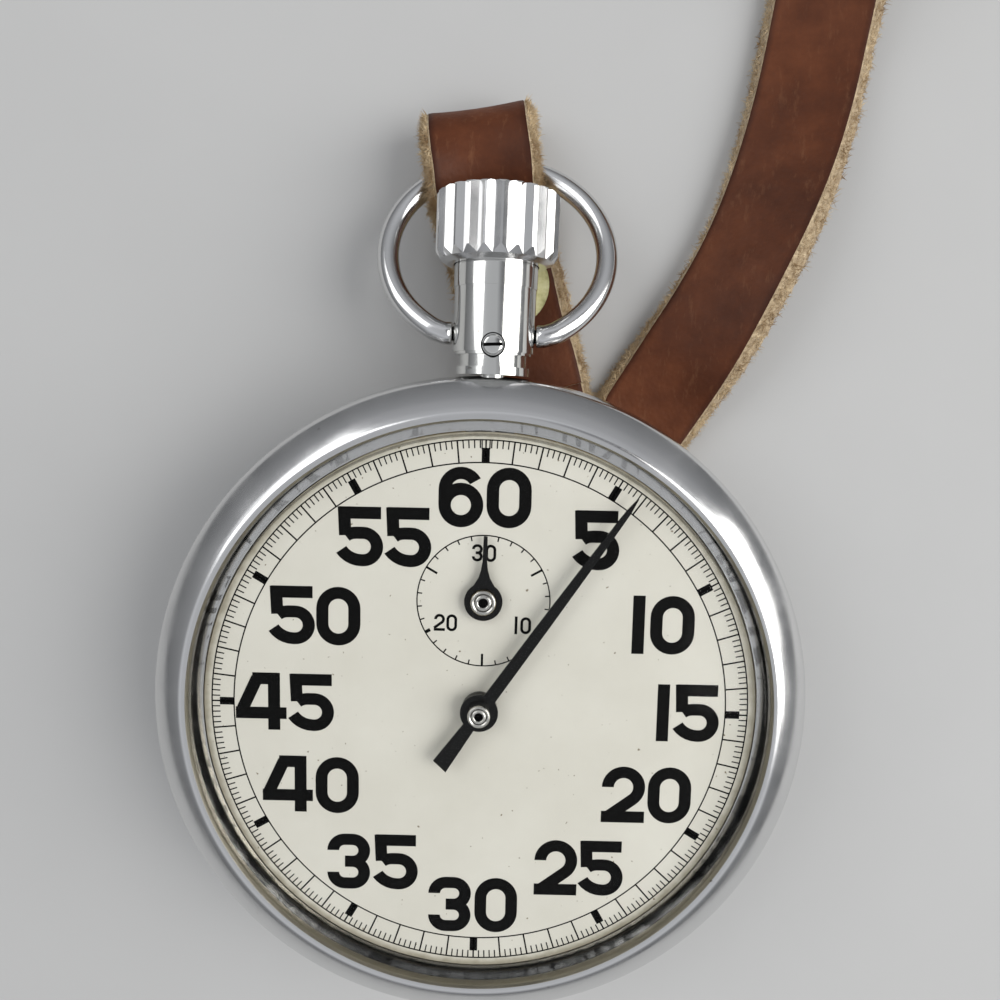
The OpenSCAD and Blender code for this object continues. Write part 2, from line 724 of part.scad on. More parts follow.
module train_bridge() {
    color("burlywood") difference() {
        union() {
            plan(bridge_z, bridge_t) difference() {
                circle(movement_r);
                barrel_bridge_plan(pass_gap);
                at(balance_p) circle(balance_r + 0.7);
                at(brake_tip) circle(1.2, $fn = 40);
                bar(cock_foot, balance_p, 2.1, 2.1);
                translate([cock_foot[0] - 2.1, -movement_r]) square([movement_r, 6.5]);
            }
            pillars(train_pillars);
        }
        for (p = train_pillars) screw_way(p, bridge_z);
        for (p = train_arbors) jewel_seat(p);
        post([0, 0], bridge_z - 1, bridge_top_z + 1, arbor_r + run_fit);
        post(click_p, bridge_z - 1, bridge_top_z + 1, screw_r);
        post(hammer_p, bridge_z - 1, bridge_top_z + 1, screw_r);
        post(spring_foot, bridge_z - 1, bridge_top_z + 1, screw_r);
    }
}

cock_t = 0.8;
cock_pillar_r = 1.6;
module balance_cock() {
    color("burlywood") difference() {
        union() {
            plan(bridge_z, cock_t) bar(cock_foot, balance_p, cock_pillar_r, 1.4);
            post(cock_foot, bridge_z, plate_z, cock_pillar_r);
        }
        screw_way(cock_foot, bridge_z);
        pivot_hole(balance_p, bridge_z, bridge_z + cock_t);
    }
}

module pallet_bridge() {
    color("burlywood") difference() {
        union() {
            plan(pallet_bridge_z, pallet_bridge_t) bar(pallet_foot, pallet_p, pillar_r, 0.8);
            post(pallet_foot, pallet_bridge_z, plate_z, pillar_r);
        }
        post(pallet_foot, pallet_bridge_z - eps, pallet_bridge_z + 0.3, screw_head_r);
        post(pallet_foot, pallet_bridge_z, plate_z + 1, screw_r);
        pivot_hole(pallet_p, pallet_bridge_z, pallet_bridge_z + pallet_bridge_t);
    }
}

notch_w = 1.85;
module main_plate() {
    color("goldenrod") difference() {
        plan(plate_z, plate_t) difference() {
            circle(pocket_r - 0.05);
            translate([-notch_w, minute_p[1] + 3.6]) square([notch_w * 2, pocket_r]);
        }
        for (p = concat(barrel_pillars, train_pillars, [cock_foot, pallet_foot]))
            post(p, plate_z - eps, plate_z + 0.9, screw_r);
        for (p = concat(train_arbors, [balance_p, pallet_p]))
            pivot_hole(p, plate_z, plate_z + pivot_depth + 0.1);
        post(barrel_p, plate_z - eps, plate_z + 0.75, 0.6 + run_fit);
        post([0, 0], plate_z - 1, plate_top_z + 1, arbor_r + run_fit);
        post(minute_p, plate_z - 1, plate_top_z + 1, arbor_r + run_fit);
        post(transfer_p, plate_z - eps, plate_z + 0.8, arbor_r);
        post(lever_p, plate_z - eps, plate_z + 0.8, screw_r);
        for (a = foot_a) post(polar(foot_r, a), plate_z - 1, plate_top_z + 1, dial_foot_r);
        for (a = case_screw_a) {
            post(polar(case_screw_r, a), plate_z - 1, plate_top_z + 1, 0.3);
            post(polar(case_screw_r, a), plate_top_z - 0.45, plate_top_z + 1, 0.6);
        }
    }
}

module case_screws() {
    color("silver") for (a = case_screw_a) difference() {
        union() {
            post(polar(case_screw_r, a), plate_top_z - 0.45, plate_top_z - 0.05, 0.6);
            post(polar(case_screw_r, a), plate_z - 1, plate_top_z - 0.4, 0.3);
        }
        translate(concat(polar(case_screw_r, a), [plate_top_z - 0.2])) cube([3, 0.2, 0.4], center = true);
    }
}

// Screws of the bridges and the shouldered screws that wheels and levers turn on
module shouldered(p, z0, z1, r, deep) {
    slotted_head(p, z0, screw_head_r, 0.3);
    post(p, z0 - eps, z1, r);
    post(p, z1 - eps, z1 + deep, screw_r);
}

module movement_screws() {
    color("steelblue") {
        for (p = concat(barrel_pillars, train_pillars, [cock_foot])) {
            slotted_head(p, bridge_z + screw_head_h, screw_head_r, screw_head_h);
            post(p, bridge_z + screw_head_h - eps, plate_z + 0.85, screw_r);
        }
        slotted_head(pallet_foot, pallet_bridge_z + 0.3, screw_head_r, 0.3);
        post(pallet_foot, pallet_bridge_z + 0.3 - eps, plate_z + 0.85, screw_r);
        shouldered(idler_p, ratchet_z - 0.05, bridge_z, 0.7, 0.9);
        shouldered(click_p, ratchet_z - 0.05, bridge_z, 0.7, 0.9);
        shouldered(hammer_p, works_z - 0.05, bridge_z, 0.8, 0.9);
        shouldered(brake_p, works_z - 0.05, bridge_z, 0.8, 0.9);
        post(transfer_p, transfer_low_z - 0.05, plate_z + 0.75, arbor_r);
        post(transfer_p, transfer_low_z - 0.25, transfer_low_z - 0.05 + eps, 0.65);
        post(lever_p, lever_z - 0.05, plate_z + 0.75, screw_r);
        post(lever_p, lever_z - 0.35, lever_z - 0.05 + eps, screw_head_r);
    }
}

module pivot_jewels() {
    z = bridge_top_z - pivot_depth;
    color("crimson") for (p = train_arbors) difference() {
        post(p, z, z + jewel_t, jewel_r);
        pivot_hole(p, z, z + jewel_t);
    }
}

// Winding work

module winding_pinion() {
    color("lightsteelblue") difference() {
        translate([0, pinion_y, stem_z]) rotate([-90, 0, 0])
            linear_extrude(pinion_l) teeth(pinion_teeth, pinion_m, 90 + 180 / pinion_teeth);
        along_y(pinion_y - 1, pinion_y + pinion_l + 1, stem_r + run_fit);
    }
}

face_z = bridge_top_z + pass_gap;
face_top_z = stem_z - (pinion_teeth / 2 - 0.6) * pinion_m;
module face_wheel() {
    ring_z = face_top_z - 0.45;
    color("lightsteelblue") {
        difference() {
            post(crown_wheel_p, face_z, ring_z, face_r + 0.2);
            post(crown_wheel_p, face_z + 0.3, ring_z + 1, face_r - 0.2);
        }
        for (i = [0:face_teeth - 1]) translate([crown_wheel_p[0], crown_wheel_p[1], ring_z - eps])
            rotate(90 + i * 360 / face_teeth) translate([face_r - 0.15, -0.08, 0])
                cube([0.3, 0.16, face_top_z - ring_z + eps]);
        post(crown_wheel_p, bridge_z - 0.1, face_z + eps, 0.7);
        post(crown_wheel_p, ratchet_z, bridge_z - 0.1 + eps, 0.4);
    }
}

crown_wheel_phase = 90;
idler_phase = mesh_phase(crown_wheel_p, idler_p, crown_wheel_teeth, idler_teeth, crown_wheel_phase);
ratchet_phase = mesh_phase(idler_p, barrel_p, idler_teeth, ratchet_teeth, idler_phase);

module crown_wheel() {
    color("silver") plan(ratchet_z, ratchet_t - 0.02) difference() {
        at(crown_wheel_p) teeth(crown_wheel_teeth, wind_m, crown_wheel_phase);
        at(crown_wheel_p) circle(0.4, $fn = 40);
    }
}

module idler_wheel() {
    color("silver") plan(ratchet_z, ratchet_t) difference() {
        at(idler_p) teeth(idler_teeth, wind_m, idler_phase);
        at(idler_p) circle(0.7 + run_fit, $fn = 40);
    }
}

module ratchet_wheel() {
    color("silver") plan(ratchet_z, ratchet_t) difference() {
        at(barrel_p) teeth(ratchet_teeth, wind_m, ratchet_phase);
        at(barrel_p, 45) square(1.4, center = true);
    }
}

module barrel_arbor() {
    color("lightsteelblue") {
        plan(ratchet_z - 0.05, ratchet_t + 0.1) at(barrel_p, 45) square(1.4, center = true);
        difference() {
            post(barrel_p, ratchet_z - 0.45, ratchet_z, 1.5);
            translate([barrel_p[0] - 2, barrel_p[1] - 0.2, ratchet_z - 0.5]) cube([4, 0.4, 0.25]);
        }
        post(barrel_p, ratchet_z + ratchet_t, bridge_top_z + 0.1, 1.1);
        post(barrel_p, bridge_top_z + 0.1 - eps, barrel_z + barrel_h + 0.1, 1);
        post(barrel_p, barrel_z + 0.4, barrel_z + barrel_h - 0.4, 1.5);
        post(barrel_p, barrel_z + barrel_h + 0.1 - eps, plate_z + 0.7, 0.6);
    }
}

ratchet_tip_r = ratchet_teeth * wind_m / 2 + addendum * wind_m;
click_tip = barrel_p + polar(ratchet_tip_r + 0.45, heading(barrel_p, click_p) + 22);
spring_foot = [-6.6, -3.6];
module click() {
    color("lightsteelblue") plan(ratchet_z, ratchet_t) difference() {
        bar(click_p, click_tip, 1.25, 0.3);
        at(click_p) circle(0.7 + run_fit, $fn = 40);
    }
}

module click_spring() {
    color("slategray") {
        plan(ratchet_z, ratchet_t) bar(spring_foot, click_tip + [0.33, -0.85], 0.3, 0.12);
        post(spring_foot, ratchet_z, bridge_z, 0.8);
        post(spring_foot, bridge_z - eps, bridge_top_z - 0.2, screw_r);
    }
}

// Going barrel

barrel_wall_r = 6.3;
module barrel() {
    color("goldenrod") difference() {
        union() {
            plan(barrel_z, barrel_rim_h) at(barrel_p) teeth(barrel_teeth, barrel_m);
            post(barrel_p, barrel_z, barrel_z + barrel_h, barrel_wall_r);
        }
        post(barrel_p, barrel_z - 1, barrel_z + barrel_h - 0.3, barrel_wall_r - 0.3);
        post(barrel_p, barrel_z, barrel_z + barrel_h + 1, 1 + run_fit);
    }
}

module barrel_cover() {
    color("gold") difference() {
        post(barrel_p, barrel_z, barrel_z + 0.3, barrel_wall_r - 0.3);
        post(barrel_p, barrel_z - 1, barrel_z + 1, 1 + run_fit);
    }
}

// A flat spiral strip from the inner radius to the outer one
module spiral(r0, r1, turns, strip, start) {
    steps = 24;
    n = turns * steps;
    line = [for (i = [0:n]) [r0 + (r1 - r0) * i / n, start + 360 * i / steps]];
    polygon(concat(
        [for (p = line) polar(p[0] + strip / 2, p[1])],
        [for (i = [n:-1:0]) polar(line[i][0] - strip / 2, line[i][1])]
    ));
}

module mainspring() {
    color("steelblue") plan(barrel_z + 0.38, barrel_h - 0.78) at(barrel_p) spiral(1.65, 5.85, 9, 0.14, 40);
}

// Going train

module second_wheel() {
    color("gold") {
        plan(second_z, wheel_t) spoked(second_p, second_teeth, second_m, 0, arbor_r - 0.1);
        plan(barrel_z, leaf_h + 0.15) at(second_p)
            teeth(train_leaves, barrel_m, mesh_phase(barrel_p, second_p, barrel_teeth, train_leaves, 0));
        arbor(second_p, bridge_top_z + 0.05, plate_z - 0.05);
    }
}

module third_wheel() {
    color("gold") {
        plan(third_z, wheel_t) spoked(third_p, third_teeth, third_m, 0, arbor_r - 0.1);
        plan(second_z - 0.2, leaf_h + 0.1) at(third_p)
            teeth(train_leaves, second_m, mesh_phase(second_p, third_p, second_teeth, train_leaves, 0));
        arbor(third_p, bridge_top_z + 0.05, plate_z - 0.05);
    }
}

module seconds_wheel() {
    color("gold") plan(seconds_z, wheel_t) spoked([0, 0], seconds_teeth, seconds_m, 0, arbor_r);
}

seconds_pin_z = second_hand_z + hand_t + 0.75;
module seconds_arbor() {
    color("lightsteelblue") {
        post([0, 0], works_z, seconds_pin_z - 0.2, arbor_r);
        post([0, 0], second_hand_z + hand_t, seconds_pin_z, 0.85);
        plan(third_z - 0.2, leaf_h + 0.1)
            teeth(centre_leaves, third_m, mesh_phase(third_p, [0, 0], third_teeth, centre_leaves, 0));
        plan(transfer_z - 0.1, 0.4) teeth(transfer_leaves, transfer_m, 0);
    }
}

module heart_plan() {
    steps = 16;
    polygon([for (i = [-steps:steps - 1])
        polar(heart_min_r + (heart_max_r - heart_min_r) * abs(i) / steps, i * 180 / steps)]);
}

module seconds_heart() {
    color("silver") plan(works_z, works_t) difference() {
        rotate(170) heart_plan();
        circle(arbor_r, $fn = 40);
    }
}

module minute_heart() {
    color("silver") plan(works_z, works_t) difference() {
        at(minute_p, 140) heart_plan();
        at(minute_p) circle(arbor_r, $fn = 40);
    }
}

// Escapement

module escape_wheel() {
    step = 360 / 15;
    color("gold") {
        plan(escape_z, 0.2) at(escape_p) difference() {
            polygon([for (i = [0:14],
                    k = [[escape_r - 0.75, 0], [escape_r, 0.42], [escape_r, 0.52], [escape_r - 0.75, 0.4]])
                polar(k[0], (i + k[1]) * step)]);
            difference() {
                circle(escape_r - 1);
                circle(0.8);
                for (a = [0, 90]) rotate(a) square([escape_r * 2, 0.4], center = true);
            }
        }
        plan(seconds_z - 0.2, leaf_h + 0.1) at(escape_p)
            teeth(escape_leaves, seconds_m, mesh_phase([0, 0], escape_p, seconds_teeth, escape_leaves, 0));
        arbor(escape_p, bridge_top_z + 0.05, plate_z - 0.05);
    }
}

fork_z = bridge_top_z + 2.1;
module pallet_fork() {
    a = heading(pallet_p, balance_p);
    color("lightsteelblue") {
        plan(fork_z, 0.3) at(pallet_p, a) {
            translate([0, -0.2]) square([2, 0.4]);
            translate([1.9, -0.45]) square([0.3, 0.9]);
            for (s = [-1, 1]) translate([1.9, s * 0.35 - 0.1]) square([0.7, 0.2]);
            translate([-0.2, -2.1]) square([0.4, 4.2]);
            for (s = [-1, 1]) translate([-0.45, s * 1.95 - 0.15]) square([0.4, 0.3]);
            circle(0.55, $fn = 40);
        }
        post(pallet_p, pallet_bridge_z + 0.05, pallet_bridge_z + pallet_bridge_t + 0.05 + eps, pivot_r);
        post(pallet_p, pallet_bridge_z + pallet_bridge_t + 0.05, plate_z - 0.05, arbor_r);
        post(pallet_p, plate_z - 0.05 - eps, plate_z + pivot_depth, pivot_r);
    }
}

module balance_wheel() {
    color("gold") {
        plan(balance_z, balance_h) at(balance_p) difference() {
            circle(balance_r - 0.25);
            circle(balance_r - 0.9);
        }
        plan(balance_z + 0.2, 0.35) at(balance_p) difference() {
            union() {
                square([balance_r * 2 - 1, 0.9], center = true);
                circle(1.1, $fn = 60);
            }
            circle(arbor_r, $fn = 40);
        }
        for (a = [15:30:345]) translate([balance_p[0], balance_p[1], balance_z + balance_h / 2])
            rotate([0, 90, a]) translate([0, 0, balance_r - 0.3]) cylinder(h = 0.3, r = 0.3, $fn = 24);
    }
}

module balance_staff() {
    a = heading(balance_p, pallet_p);
    color("lightsteelblue") {
        post(balance_p, bridge_z + cock_t + 0.05, plate_z - 0.05, arbor_r);
        post(balance_p, bridge_z + 0.1, bridge_z + cock_t + 0.06, pivot_r);
        post(balance_p, plate_z - 0.06, plate_z + pivot_depth, pivot_r);
        post(balance_p, fork_z + 0.4, fork_z + 0.65, 1.05);
        post(balance_p + polar(0.85, a), fork_z + 0.02, fork_z + 0.42, 0.1);
    }
}

module hairspring() {
    z = bridge_z + cock_t + 0.25;
    color("steelblue") {
        plan(z, 0.25) at(balance_p) spiral(0.6, 2.7, 6, 0.08, 40);
        post(balance_p + polar(2.7, 40), z - 0.6, z + 0.3, 0.25);
        plan(bridge_z + cock_t, 0.15) bar(balance_p + polar(1.2, 40), balance_p + polar(2.7, 40), 0.3, 0.4);
    }
}

// Minute counter

transfer_low_z = minute_z - 0.1;
module transfer_wheel() {
    color("gold") difference() {
        union() {
            plan(transfer_z, 0.2) spoked(transfer_p, transfer_teeth, transfer_m,
                mesh_phase([0, 0], transfer_p, transfer_leaves, transfer_teeth, 0), 0.5);
            plan(transfer_low_z, 0.5) at(transfer_p) teeth(transfer_leaves, minute_m, 0);
            post(transfer_p, transfer_low_z, transfer_z + 0.25, 0.55);
        }
        post(transfer_p, transfer_low_z - 1, plate_z, arbor_r + run_fit);
    }
}

module minute_wheel() {
    color("gold") {
        plan(minute_z, wheel_t) spoked(minute_p, minute_teeth, minute_m,
            mesh_phase(transfer_p, minute_p, transfer_leaves, minute_teeth, 0), arbor_r - 0.1);
        post(minute_p, works_z, minute_hand_z + hand_t + hand_pipe_h, arbor_r);
        post(minute_p, bridge_top_z + 0.1, plate_z - 0.1, arbor_r + 0.25);
        post(minute_p, minute_hand_z + hand_t, minute_hand_z + hand_t + hand_pipe_h, 0.95);
    }
}

// Start, stop and reset

module operating_lever() {
    nose = [0, stem_end_y - 0.2 - 0.45];
    tail = lever_p + [3.2, -3.4];
    color("lightsteelblue") difference() {
        plan(lever_z, lever_t) {
            bar(lever_p, nose, 1.3, 0.45);
            bar(lever_p, tail, 1.3, 0.6);
        }
        post(lever_p, lever_z - 1, plate_z, screw_r + run_fit);
    }
}

module column_wheel() {
    color("lightsteelblue") {
        plan(works_z + 0.5, 0.5) at(column_p) teeth(18, 0.26);
        for (a = [0:60:300]) plan(works_z - 0.5, 1.05) at(column_p, a) intersection() {
            difference() {
                circle(1.95);
                circle(1.2);
            }
            polygon([[0, 0], [2.6, -0.75], [2.6, 0.75]]);
        }
        post(column_p, works_z + 0.5, bridge_z + 0.01, 0.5);
        post(column_p, bridge_z, bridge_top_z - 0.1, 0.5);
    }
}

// Outlines of the two levers beyond the bosses that they turn on
hammer_plan = [[0.4, -12], [3.6, -2.3], [3.6, -0.5], [2.6, -0.4], [2.6, 0.4], [3.4, 0.6], [3, 7.9],
    [2.5, 8.1], [2.5, 8.9], [4.3, 9.1], [5.1, -1.8], [3.2, -12]];
brake_plan = [[12.7, 4.3], [11, 5], [11.2, 5.5], [13.9, 4.5], [14.8, 3.2], [15.4, -4.3], [14.4, -4.6],
    [12.5, 2.8]];

module turned_lever(p, outline, boss_r) {
    difference() {
        plan(works_z, works_t) {
            polygon(outline);
            at(p) circle(boss_r, $fn = 48);
        }
        post(p, works_z - 1, works_z + works_t + 1, 0.8 + run_fit);
    }
}

module reset_hammer() {
    color("silver") turned_lever(hammer_p, hammer_plan, 1.5);
}

module brake_lever() {
    color("silver") {
        turned_lever(brake_p, brake_plan, 1.4);
        post(brake_tip, works_z + 0.1, balance_z + balance_h / 2, 0.3);
    }
}

// Strap

strap_across = [-0.46, -0.3, 0, 0.3, 0.46, 0.5, 0.46, 0.3, 0, -0.3, -0.46, -0.5];
strap_up = [1, 1, 1, 1, 1, 0, -1, -1, -1, -1, -1, 0];
strap_sides = 12;
function unit(v) = v / norm(v);
function spot(v) = [v[0], v[1], v[2]];
function travel(list, i) = unit(spot(list[min(i + 1, len(list) - 1)]) - spot(list[max(i - 1, 0)]));
function width_way(v) = [cos(v[3]) * cos(v[4]), sin(v[3]) * cos(v[4]), sin(v[4])];
function strap_ring(list, i) = let (v = list[i], u = width_way(v), n = unit(cross(travel(list, i), u)))
    [for (k = [0:strap_sides - 1]) let (s = strap_across[k] * strap_w)
        spot(v) + s * u + (strap_up[k] * strap_t / 2 - v[5] * s * s) * n];

module strip(list) {
    polyhedron([for (i = [0:len(list) - 1]) each strap_ring(list, i)], tube_faces(len(list), strap_sides));
}

module strap_loop() {
    color("saddlebrown") difference() {
        strip(loop_route);
        post(stud_p, -1, stud_z, stud_shank_r + run_fit);
    }
}

module strap_lead() {
    color("saddlebrown") difference() {
        strip(lead_route);
        rivet_way(rivet_p[0] - 4, rivet_p[0] + 4, stud_shank_r + run_fit);
    }
}

stud_shank_r = 0.8;
module strap_stud() {
    color("darkkhaki") {
        post(stud_p, stud_z, stud_z + stud_t, stud_r);
        post(stud_p, 0.05, stud_z + eps, stud_shank_r);
    }
}

module rivet_way(x0, x1, r) {
    translate([x0, rivet_p[1], rivet_p[2]]) rotate([0, 90, 0]) cylinder(h = x1 - x0, r = r, $fn = 32);
}

rivet_half = 2.2;
module strap_rivet() {
    color("darkkhaki") {
        rivet_way(rivet_p[0] - rivet_half, rivet_p[0] + rivet_half, stud_shank_r);
        rivet_way(rivet_p[0] - rivet_half - 0.5, rivet_p[0] - rivet_half + eps, 1.9);
        rivet_way(rivet_p[0] + rivet_half - eps, rivet_p[0] + rivet_half + 0.5, 1.9);
    }
}

case_band();
case_back();
bezel();
crystal();
pendant_neck();
pendant_screw();
bow();
crown();
winding_stem();
stem_sleeve();
crown_spring();
dial();
second_hand();
minute_hand();
main_plate();
barrel_bridge();
train_bridge();
balance_cock();
pallet_bridge();
movement_screws();
case_screws();
pivot_jewels();
winding_pinion();
face_wheel();
crown_wheel();
idler_wheel();
ratchet_wheel();
barrel_arbor();
click();
click_spring();
barrel();
barrel_cover();
mainspring();
second_wheel();
third_wheel();
seconds_wheel();
seconds_arbor();
seconds_heart();
escape_wheel();
pallet_fork();
balance_wheel();
balance_staff();
hairspring();
transfer_wheel();
minute_wheel();
minute_heart();
operating_lever();
column_wheel();
reset_hammer();
brake_lever();
strap_loop();
strap_lead();
strap_stud();
strap_rivet();
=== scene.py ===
import math
import random

import bmesh
import bpy
from mathutils import Matrix, Vector, noise


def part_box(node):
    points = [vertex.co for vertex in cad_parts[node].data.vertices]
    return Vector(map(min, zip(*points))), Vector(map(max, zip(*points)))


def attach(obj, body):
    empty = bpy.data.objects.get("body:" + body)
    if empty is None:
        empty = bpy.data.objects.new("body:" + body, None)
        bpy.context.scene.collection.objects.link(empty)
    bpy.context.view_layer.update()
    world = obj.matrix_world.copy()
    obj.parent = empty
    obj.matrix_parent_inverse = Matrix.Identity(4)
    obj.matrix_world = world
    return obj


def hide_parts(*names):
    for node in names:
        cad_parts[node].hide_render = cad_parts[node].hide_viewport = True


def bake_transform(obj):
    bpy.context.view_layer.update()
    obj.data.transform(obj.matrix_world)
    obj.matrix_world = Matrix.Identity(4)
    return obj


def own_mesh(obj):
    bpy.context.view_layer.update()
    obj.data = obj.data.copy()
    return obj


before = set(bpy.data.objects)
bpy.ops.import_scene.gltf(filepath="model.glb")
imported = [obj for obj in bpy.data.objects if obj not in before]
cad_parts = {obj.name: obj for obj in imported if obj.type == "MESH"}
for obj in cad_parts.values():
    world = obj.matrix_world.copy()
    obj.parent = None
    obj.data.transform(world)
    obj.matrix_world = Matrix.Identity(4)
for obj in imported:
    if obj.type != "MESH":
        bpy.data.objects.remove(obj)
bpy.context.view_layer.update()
mm = 0.001
rng = random.Random(7)
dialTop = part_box("dial")[1][2] / mm
stemHeight = 8.9
print("frame loaded, dial top at", round(dialTop, 2), "mm")

# ---- camera, placed in millimetres of the frame
view = {"place": (1.004, 22.966, 72.364), "turn": (-0.1096, 0.0051, 0.0393), "lens": 29.46, "sensor": 36.0}
cameraData = bpy.data.cameras.new("camera")
cameraData.lens = view["lens"]
cameraData.sensor_width = view["sensor"]
cameraData.clip_start = 0.002
camera = bpy.data.objects.new("camera", cameraData)
camera.location = Vector(view["place"]) * mm
camera.rotation_euler = view["turn"]
bpy.context.scene.collection.objects.link(camera)
bpy.context.scene.camera = camera
bpy.context.scene.view_settings.view_transform = "Standard"
print("camera set")


# ---- material helpers
class Shade:  # one material with its principled shader and short ways to add nodes
    def __init__(self, name, colour, metallic=0.0, roughness=0.4):
        self.material = bpy.data.materials.new(name)
        self.material.use_nodes = True
        self.tree = self.material.node_tree
        self.shader = self.tree.nodes["Principled BSDF"]
        self.shader.inputs["Base Color"].default_value = (*colour, 1)
        self.shader.inputs["Metallic"].default_value = metallic
        self.shader.inputs["Roughness"].default_value = roughness

    def add(self, kind, **values):
        node = self.tree.nodes.new(kind)
        for key, value in values.items():
            if key in node.inputs:
                node.inputs[key].default_value = value
            else:
                setattr(node, key, value)
        return node

    def join(self, a, b):
        self.tree.links.new(a, b)

    def place(self, stretch=(1, 1, 1), turn=(0, 0, 0), source="Object"):
        spot = self.add("ShaderNodeTexCoord")
        mapping = self.add("ShaderNodeMapping")
        mapping.inputs["Scale"].default_value = stretch
        mapping.inputs["Rotation"].default_value = turn
        self.join(spot.outputs[source], mapping.inputs["Vector"])
        return mapping.outputs["Vector"]

    def grain(self, scale, detail=4.0, rough=0.55, where=None, stretch=(1, 1, 1)):
        node = self.add("ShaderNodeTexNoise", Scale=scale, Detail=detail, Roughness=rough)
        self.join(where or self.place(stretch), node.inputs["Vector"])
        return node.outputs["Fac"]

    def ramp(self, fac, *stops):
        node = self.add("ShaderNodeValToRGB")
        band = node.color_ramp
        while len(band.elements) < len(stops):
            band.elements.new(0.5)
        for element, (at, colour) in zip(band.elements, stops):
            element.position = at
            element.color = (*colour, 1) if len(colour) == 3 else colour
        self.join(fac, node.inputs["Fac"])
        return node.outputs["Color"]

    def span(self, fac, low, high, a=0.0, b=1.0):
        node = self.add("ShaderNodeMapRange")
        node.inputs["From Min"].default_value = a
        node.inputs["From Max"].default_value = b
        node.inputs["To Min"].default_value = low
        node.inputs["To Max"].default_value = high
        self.join(fac, node.inputs["Value"])
        return node.outputs["Result"]

    def blend(self, fac, a, b, way="MIX"):
        node = self.add("ShaderNodeMix", data_type="RGBA", blend_type=way)
        sockets = [s for s in node.inputs if s.type == "RGBA"]
        factor = [s for s in node.inputs if s.name == "Factor" and s.type == "VALUE"][0]
        for socket, value in ((factor, fac), (sockets[0], a), (sockets[1], b)):
            if isinstance(value, (int, float)):
                socket.default_value = value
            elif isinstance(value, tuple):
                socket.default_value = (*value, 1)
            else:
                self.join(value, socket)
        return [s for s in node.outputs if s.type == "RGBA"][0]

    def colour(self, value):
        self.join(value, self.shader.inputs["Base Color"])

    def roughness(self, value):
        self.join(value, self.shader.inputs["Roughness"])

    def bump(self, height, strength, distance):
        node = self.add("ShaderNodeBump", Strength=strength, Distance=distance)
        self.join(height, node.inputs["Height"])
        last = self.shader.inputs["Normal"]
        if last.links:
            self.join(last.links[0].from_socket, node.inputs["Normal"])
        self.join(node.outputs["Normal"], last)


def polishedMetal(name, colour, low, high, scratch=0.05, dark=None):
    s = Shade(name, colour, 1.0, low)
    smudge = s.grain(260, 5, 0.6)
    s.roughness(s.span(smudge, low, high, 0.35, 0.7))
    fine = s.grain(5000, 3, 0.7, s.place((1, 0.12, 1), (0, 0, 0.6)))
    s.bump(fine, scratch, 0.00001)
    if dark:
        spots = s.grain(1300, 2, 0.5)
        s.colour(s.ramp(spots, (0.0, colour), (0.755, colour), (0.8, dark)))
    return s


def brushedMetal(name, colour, roughness, stretch=(1, 1, 1)):
    s = Shade(name, colour, 1.0, roughness)
    line = s.grain(4200, 4, 0.7, s.place(stretch))
    s.roughness(s.span(line, roughness * 0.75, roughness * 1.3))
    s.bump(line, 0.12, 0.00002)
    tone = s.grain(300, 3, 0.5)
    s.colour(s.blend(tone, tuple(c * 0.82 for c in colour), tuple(min(1, c * 1.1) for c in colour)))
    return s


chrome = polishedMetal("polishedCase", (0.7, 0.7, 0.7), 0.13, 0.23, 0.06, (0.35, 0.33, 0.3))
grimyMetal = polishedMetal("grimyInnerEdge", (0.3, 0.28, 0.23), 0.3, 0.5, 0.1, (0.1, 0.08, 0.05))
neckSteel = polishedMetal("polishedNeck", (0.72, 0.72, 0.7), 0.07, 0.17, 0.05, (0.3, 0.28, 0.24))
steel = brushedMetal("movementSteel", (0.56, 0.56, 0.57), 0.28)
blued = brushedMetal("bluedSteel", (0.05, 0.09, 0.28), 0.25)
hubSteel = polishedMetal("hubSteel", (0.62, 0.61, 0.58), 0.16, 0.3)
gilt = brushedMetal("giltBrass", (0.79, 0.6, 0.27), 0.26)
frosted = brushedMetal("frostedPlate", (0.72, 0.58, 0.33), 0.42)


def dialPaint():
    s = Shade("dialPaint", (0.8, 0.78, 0.7), 0.0, 0.55)
    tone = s.grain(120, 4, 0.6)
    cream = s.ramp(tone, (0.3, (0.685, 0.665, 0.59)), (0.7, (0.745, 0.728, 0.655)))
    fleck = s.grain(2600, 2, 0.4)
    marked = s.ramp(fleck, (0.0, (1, 1, 1)), (0.735, (1, 1, 1)), (0.78, (0.32, 0.27, 0.2)))
    reach = s.add("ShaderNodeVectorMath", operation="LENGTH")
    s.join(s.place((1, 1, 0)), reach.inputs[0])
    wander = s.span(s.grain(900, 3, 0.6), -0.00035, 0.00035)
    edge = s.add("ShaderNodeMath", operation="ADD")
    s.join(reach.outputs["Value"], edge.inputs[0])
    s.join(wander, edge.inputs[1])
    dirt = s.ramp(s.span(edge.outputs["Value"], 0, 1, 0.0203, 0.0214), (0.0, (1, 1, 1)), (0.45, (0.93, 0.92, 0.89)),
                  (0.75, (0.6, 0.57, 0.5)), (1.0, (0.42, 0.39, 0.33)))
    s.colour(s.blend(1.0, s.blend(1.0, cream, marked, "MULTIPLY"), dirt, "MULTIPLY"))
    s.bump(s.grain(1800, 3, 0.6), 0.08, 0.00003)
    return s


dialCream = dialPaint()


def blackPaint(name, roughness, gloss):
    s = Shade(name, (0.003, 0.003, 0.003), 0.0, roughness)
    s.shader.inputs["Specular IOR Level"].default_value = gloss
    s.roughness(s.span(s.grain(900, 3, 0.6), roughness * 0.7, roughness * 1.4))
    s.bump(s.grain(2400, 2, 0.5), 0.05, 0.00002)
    return s


dialInk = blackPaint("dialInk", 0.45, 0.08)
handBlack = blackPaint("handBlack", 0.22, 0.3)
# a matt black used as painted shade: it fills pivot holes, grooves, the screw's gap and its slot
darkHole = blackPaint("darkHole", 0.8, 0.02)


